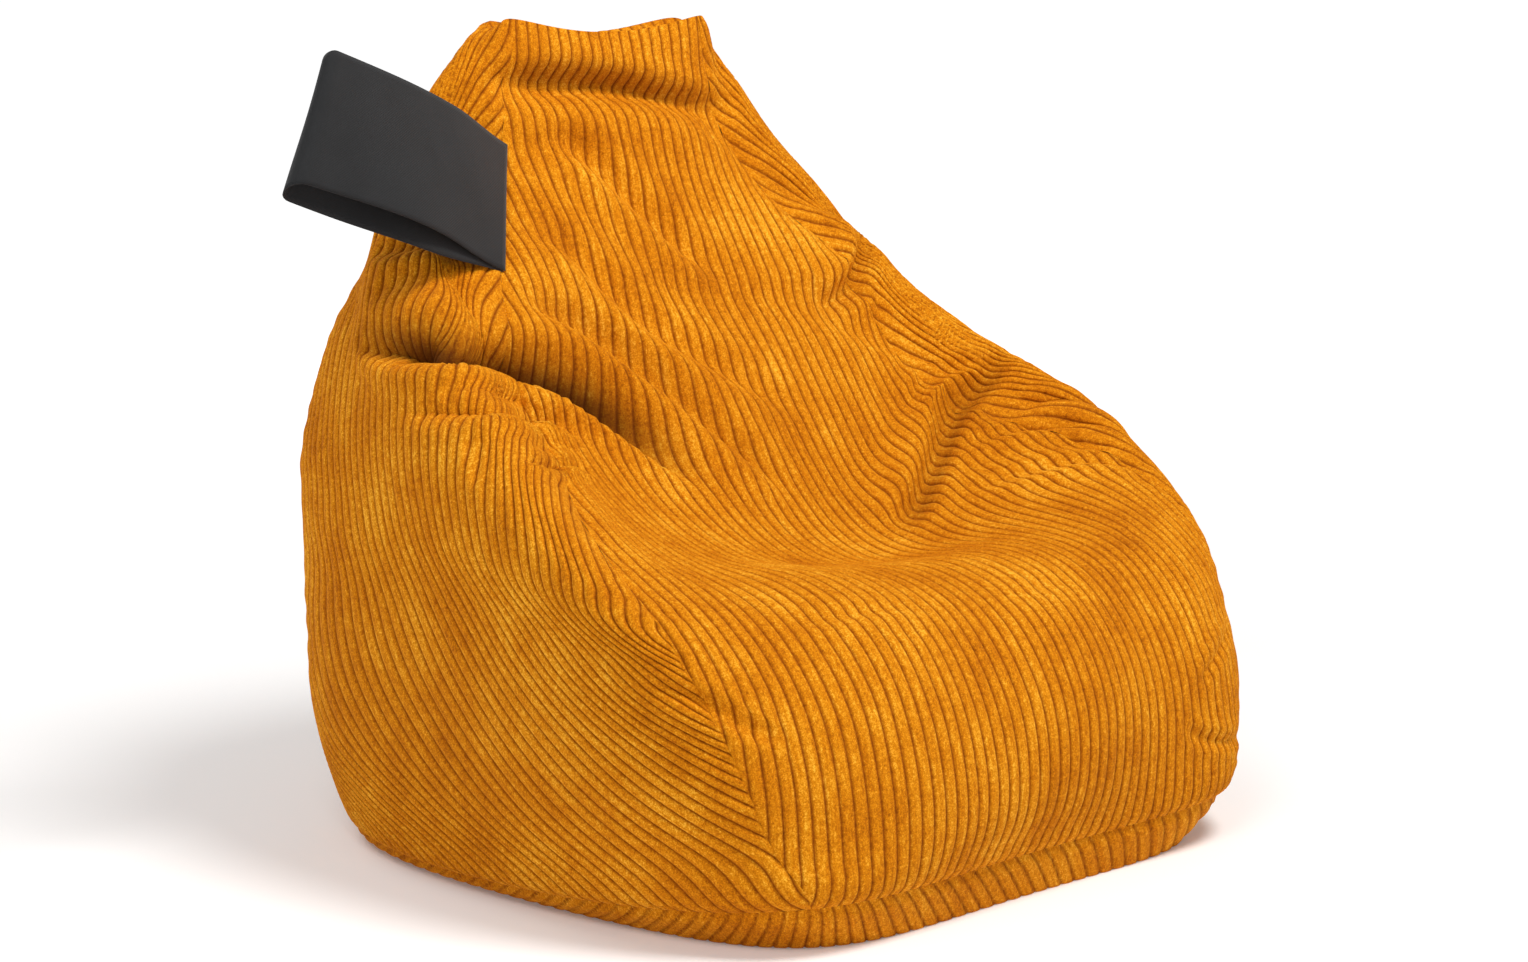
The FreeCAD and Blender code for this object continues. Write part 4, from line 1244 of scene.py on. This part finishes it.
def zip_pieces():
    """The two tapes, coils and stops, the slider and the pull of the zip."""
    back_tape, side_tape = [ribbed_tape("zip_woven_tape_" + place, side) for place, side in ZIP_SIDES]
    back_coil, side_coil = [coil("zip_spiral_" + place, side) for place, side in ZIP_SIDES]
    coil_low = TAPE_LOW + TAPE_THICKNESS
    slider_z = ZIP_LENGTH / 2 - SLIDER_END_GAP - SLIDER_LENGTH
    slider_top = SLIDER_TOP_LOW + SLIDER_TOP_PLATE
    bridge_z = slider_z + (SLIDER_LENGTH - BRIDGE_LENGTH) / 2
    half = SLIDER_WIDTH / 2
    stop_z = ZIP_LENGTH / 2 + STOP_GAP
    stop = (COIL_WIDTH, COIL_HEIGHT, STOP_LENGTH)
    wide = ZIP_SPLIT + COIL_WIDTH
    top_stops = [((ZIP_SPLIT, coil_low, stop_z), stop), ((-wide, coil_low, stop_z), stop)]
    bottom_stop = [((-wide, coil_low, -stop_z - STOP_LENGTH), (2 * wide, COIL_HEIGHT, STOP_LENGTH))]
    post = (BRIDGE_WIDTH, BRIDGE_HEIGHT, BRIDGE_BAR)
    web_height = SLIDER_TOP_LOW - SLIDER_LOW + .2
    body = [
        ((-half, SLIDER_LOW, slider_z), (SLIDER_WIDTH, SLIDER_PLATE, SLIDER_LENGTH)),
        ((-half, SLIDER_TOP_LOW, slider_z), (SLIDER_WIDTH, SLIDER_TOP_PLATE, SLIDER_LENGTH)),
        ((-SLIDER_WEB / 2, SLIDER_LOW, slider_z), (SLIDER_WEB, web_height, SLIDER_LENGTH)),
        ((-BRIDGE_WIDTH / 2, slider_top + BRIDGE_HEIGHT - BRIDGE_BAR, bridge_z),
         (BRIDGE_WIDTH, BRIDGE_BAR, BRIDGE_LENGTH)),
        ((-BRIDGE_WIDTH / 2, slider_top, bridge_z), post),
        ((-BRIDGE_WIDTH / 2, slider_top, bridge_z + BRIDGE_LENGTH - BRIDGE_BAR), post),
    ]
    pin_y = slider_top + (BRIDGE_HEIGHT - BRIDGE_BAR) / 2
    pin_z = slider_z + SLIDER_LENGTH / 2
    reach = BRIDGE_WIDTH / 2 + EYE_GAP + PULL_ARM
    arm = SLIDER_LENGTH / 2 + 1
    low_y = pin_y - TAB_THICKNESS / 2
    rail = (PULL_ARM, TAB_THICKNESS, TAB_LENGTH + .4)
    tab_z = pin_z - arm - TAB_LENGTH
    pull = [
        ((-reach, low_y, pin_z - arm), (PULL_ARM, TAB_THICKNESS, arm + PIN_RADIUS)),
        ((reach - PULL_ARM, low_y, pin_z - arm), (PULL_ARM, TAB_THICKNESS, arm + PIN_RADIUS)),
        # the tab is a frame round a thinner web
        ((-reach, low_y, tab_z), rail),
        ((reach - PULL_ARM, low_y, tab_z), rail),
        ((-reach, low_y, tab_z), (2 * reach, TAB_THICKNESS, 3.0)),
        ((-reach, low_y, tab_z + TAB_LENGTH - 2.0), (2 * reach, TAB_THICKNESS, 2.4)),
        ((-reach + .2, low_y + .3, tab_z + .2), (2 * reach - .4, TAB_THICKNESS - .6, TAB_LENGTH - .4)),
    ]
    pins = [((0, pin_y, pin_z), PIN_RADIUS, 2 * reach)]
    stops_above = machined("zip_clamped_top_stops", top_stops, .5)
    stop_below = machined("zip_clamped_bottom_stop", bottom_stop, .5)
    return {
        "zip_tape_back": (back_tape, ZIP_CLOTH, "zip_tape", "bag"),
        "zip_tape_side": (side_tape, ZIP_CLOTH, "zip_tape", "bag"),
        "zip_coil_back": (back_coil, ZIP_COIL, "zip_coil", "bag"),
        "zip_coil_side": (side_coil, ZIP_COIL, "zip_coil", "bag"),
        "zip_top_stops": (stops_above, ZIP_METAL, "zip_metal", "bag"),
        "zip_bottom_stop": (stop_below, ZIP_METAL, "zip_metal", "bag"),
        "zip_slider": (machined("zip_slider_body", body, .35), ZIP_METAL, "zip_metal", "zip_slider"),
        "zip_pull": (machined("zip_pull_tab", pull, .3, pins), ZIP_METAL, "zip_metal", "zip_pull"),
    }


CARE_WIDTH, CARE_HEIGHT, CARE_LOW_Z, CARE_FROM_SEAM = .042, .034, .096, .0016
CARE_STAND, CARE_THICKNESS, CARE_LIFT = .0021, .0007, .0022


def care_ribbon(name):
    """A blank satin label lying on the right panel, its free edge a little lifted."""
    rows, columns = 26, 32
    low = height_at(BACK_RIGHT, CARE_LOW_Z)
    heights = np.linspace(low, low + CARE_HEIGHT, rows)
    seam = BACK_RIGHT * STEP
    step = .002
    close = net(heights, np.array([seam, seam + step]))
    per_radian = np.linalg.norm(close[:, 1] - close[:, 0], axis=1)[:, None] / step
    part = np.linspace(0, 1, columns)
    angles = seam + (CARE_FROM_SEAM + CARE_WIDTH * part) / per_radian
    place, normals = on_skin(heights, angles)
    lift = CARE_STAND + CARE_LIFT * part ** 3 + .0004 * np.sin(part * 7 + heights[:, None] * 120)
    strip = place + normals * lift[..., None]
    return solid_strip(name, strip, strip - normals * CARE_THICKNESS), strip, normals


care, care_strip, care_normals = care_ribbon("care_label_satin")
care_stitches = stitch_line(
    "care_label_stitches", care_strip[:, 1], care_normals[:, 1], .0030, .0021, .00028)

# ---- dress the pieces and attach them to their bodies
cover_piece(front_cloth)
cover_piece(left_cloth)
cover_piece(back_cloth)
cover_piece(right_cloth)
cover_piece(base_cloth)
cover_piece(top_cloth)

dress(liner_cloth, LINER_CLOTH, stands_for=("inner_liner",))
dress(beads, BEADS, stands_for=("bean_filling",))
for place, tape in tapes.items():
    dress(tape, TAPE_CLOTH, stands_for=("seam_binding_" + place,))

# the label ribbon and its stitches get the label cloth and keep their place in the world
for made in (side_label, label_stitches):
    made.data.materials.append(LABEL_CLOTH)
    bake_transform(made)
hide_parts("side_label")

dress(care, SATIN, stands_for=("care_label",))
dress(care_stitches, SATIN)
for node, (made, material, slot, body) in zip_pieces().items():
    dress(made, material, body, stands_for=(node,))


# ---- floor, light, camera
def stage_floor():
    half, z = 90.0, -.0006
    corners = [(-half, -half, z), (half, -half, z), (half, half, z), (-half, half, z)]
    made = make_mesh("floor", corners, [(0, 1, 2, 3)], smooth=False)
    s = Shader("pale_glowing_floor")
    distance = s.add("VectorMath", {0: s.object_place()}, operation="LENGTH").outputs["Value"]
    # painted light: the floor glows, faintly near the bag and more strongly further out, so the far
    # floor shows white
    glow = s.grey(distance, 1.1, 4.0, .12, .78)
    made.data.materials.append(s.finish(
        Base_Color=(.90, .90, .90, 1), Roughness=.95,
        Emission_Color=(1, 1, 1, 1), Emission_Strength=glow))
    return made


def aimed(name, data, place, way):
    """A light or camera at a place, looking along a direction."""
    made = linked(name, data)
    made.location = place
    made.rotation_mode = "QUATERNION"
    made.rotation_quaternion = way.to_track_quat("-Z", "Y")
    return made


def area_light(name, place, target, size, power, colour=(1, 1, 1)):
    data = bpy.data.lights.new(name, "AREA")
    data.shape = "DISK"
    data.size = size
    data.energy = power
    data.color = colour
    return aimed(name, data, place, Vector(target) - Vector(place))


floor = stage_floor()
lights = [
    area_light("key", (.3, -1.8, 3.7), (0, 0, .35), 1.3, 114, (1, .985, .96)),
    area_light("fill", (-2.6, -1.5, 2.9), (0, 0, .45), 1.6, 42),
    area_light("rim", (-.6, 2.4, 2.4), (0, 0, .45), 1.6, 24),
]

world = bpy.data.worlds.new("studio")
bpy.context.scene.world = world
world.use_nodes = True
background = world.node_tree.nodes["Background"]
background.inputs["Color"].default_value = (1, 1, 1, 1)
background.inputs["Strength"].default_value = .30
bpy.context.scene.view_settings.view_transform = "Standard"

CAMERA_TARGET = Vector((0, 0, .360))
CAMERA_DISTANCE = 3.35
CAMERA_AZIMUTH = math.radians(-45)
CAMERA_ELEVATION = math.radians(9)
LENS = 77.75
camera_data = bpy.data.cameras.new("camera")
camera_data.lens = LENS
camera_data.sensor_width = 36
away = Vector((
    math.sin(CAMERA_AZIMUTH) * math.cos(CAMERA_ELEVATION),
    -math.cos(CAMERA_AZIMUTH) * math.cos(CAMERA_ELEVATION),
    math.sin(CAMERA_ELEVATION),
))
camera = aimed("camera", camera_data, CAMERA_TARGET + away * CAMERA_DISTANCE, -away)
bpy.context.scene.camera = camera
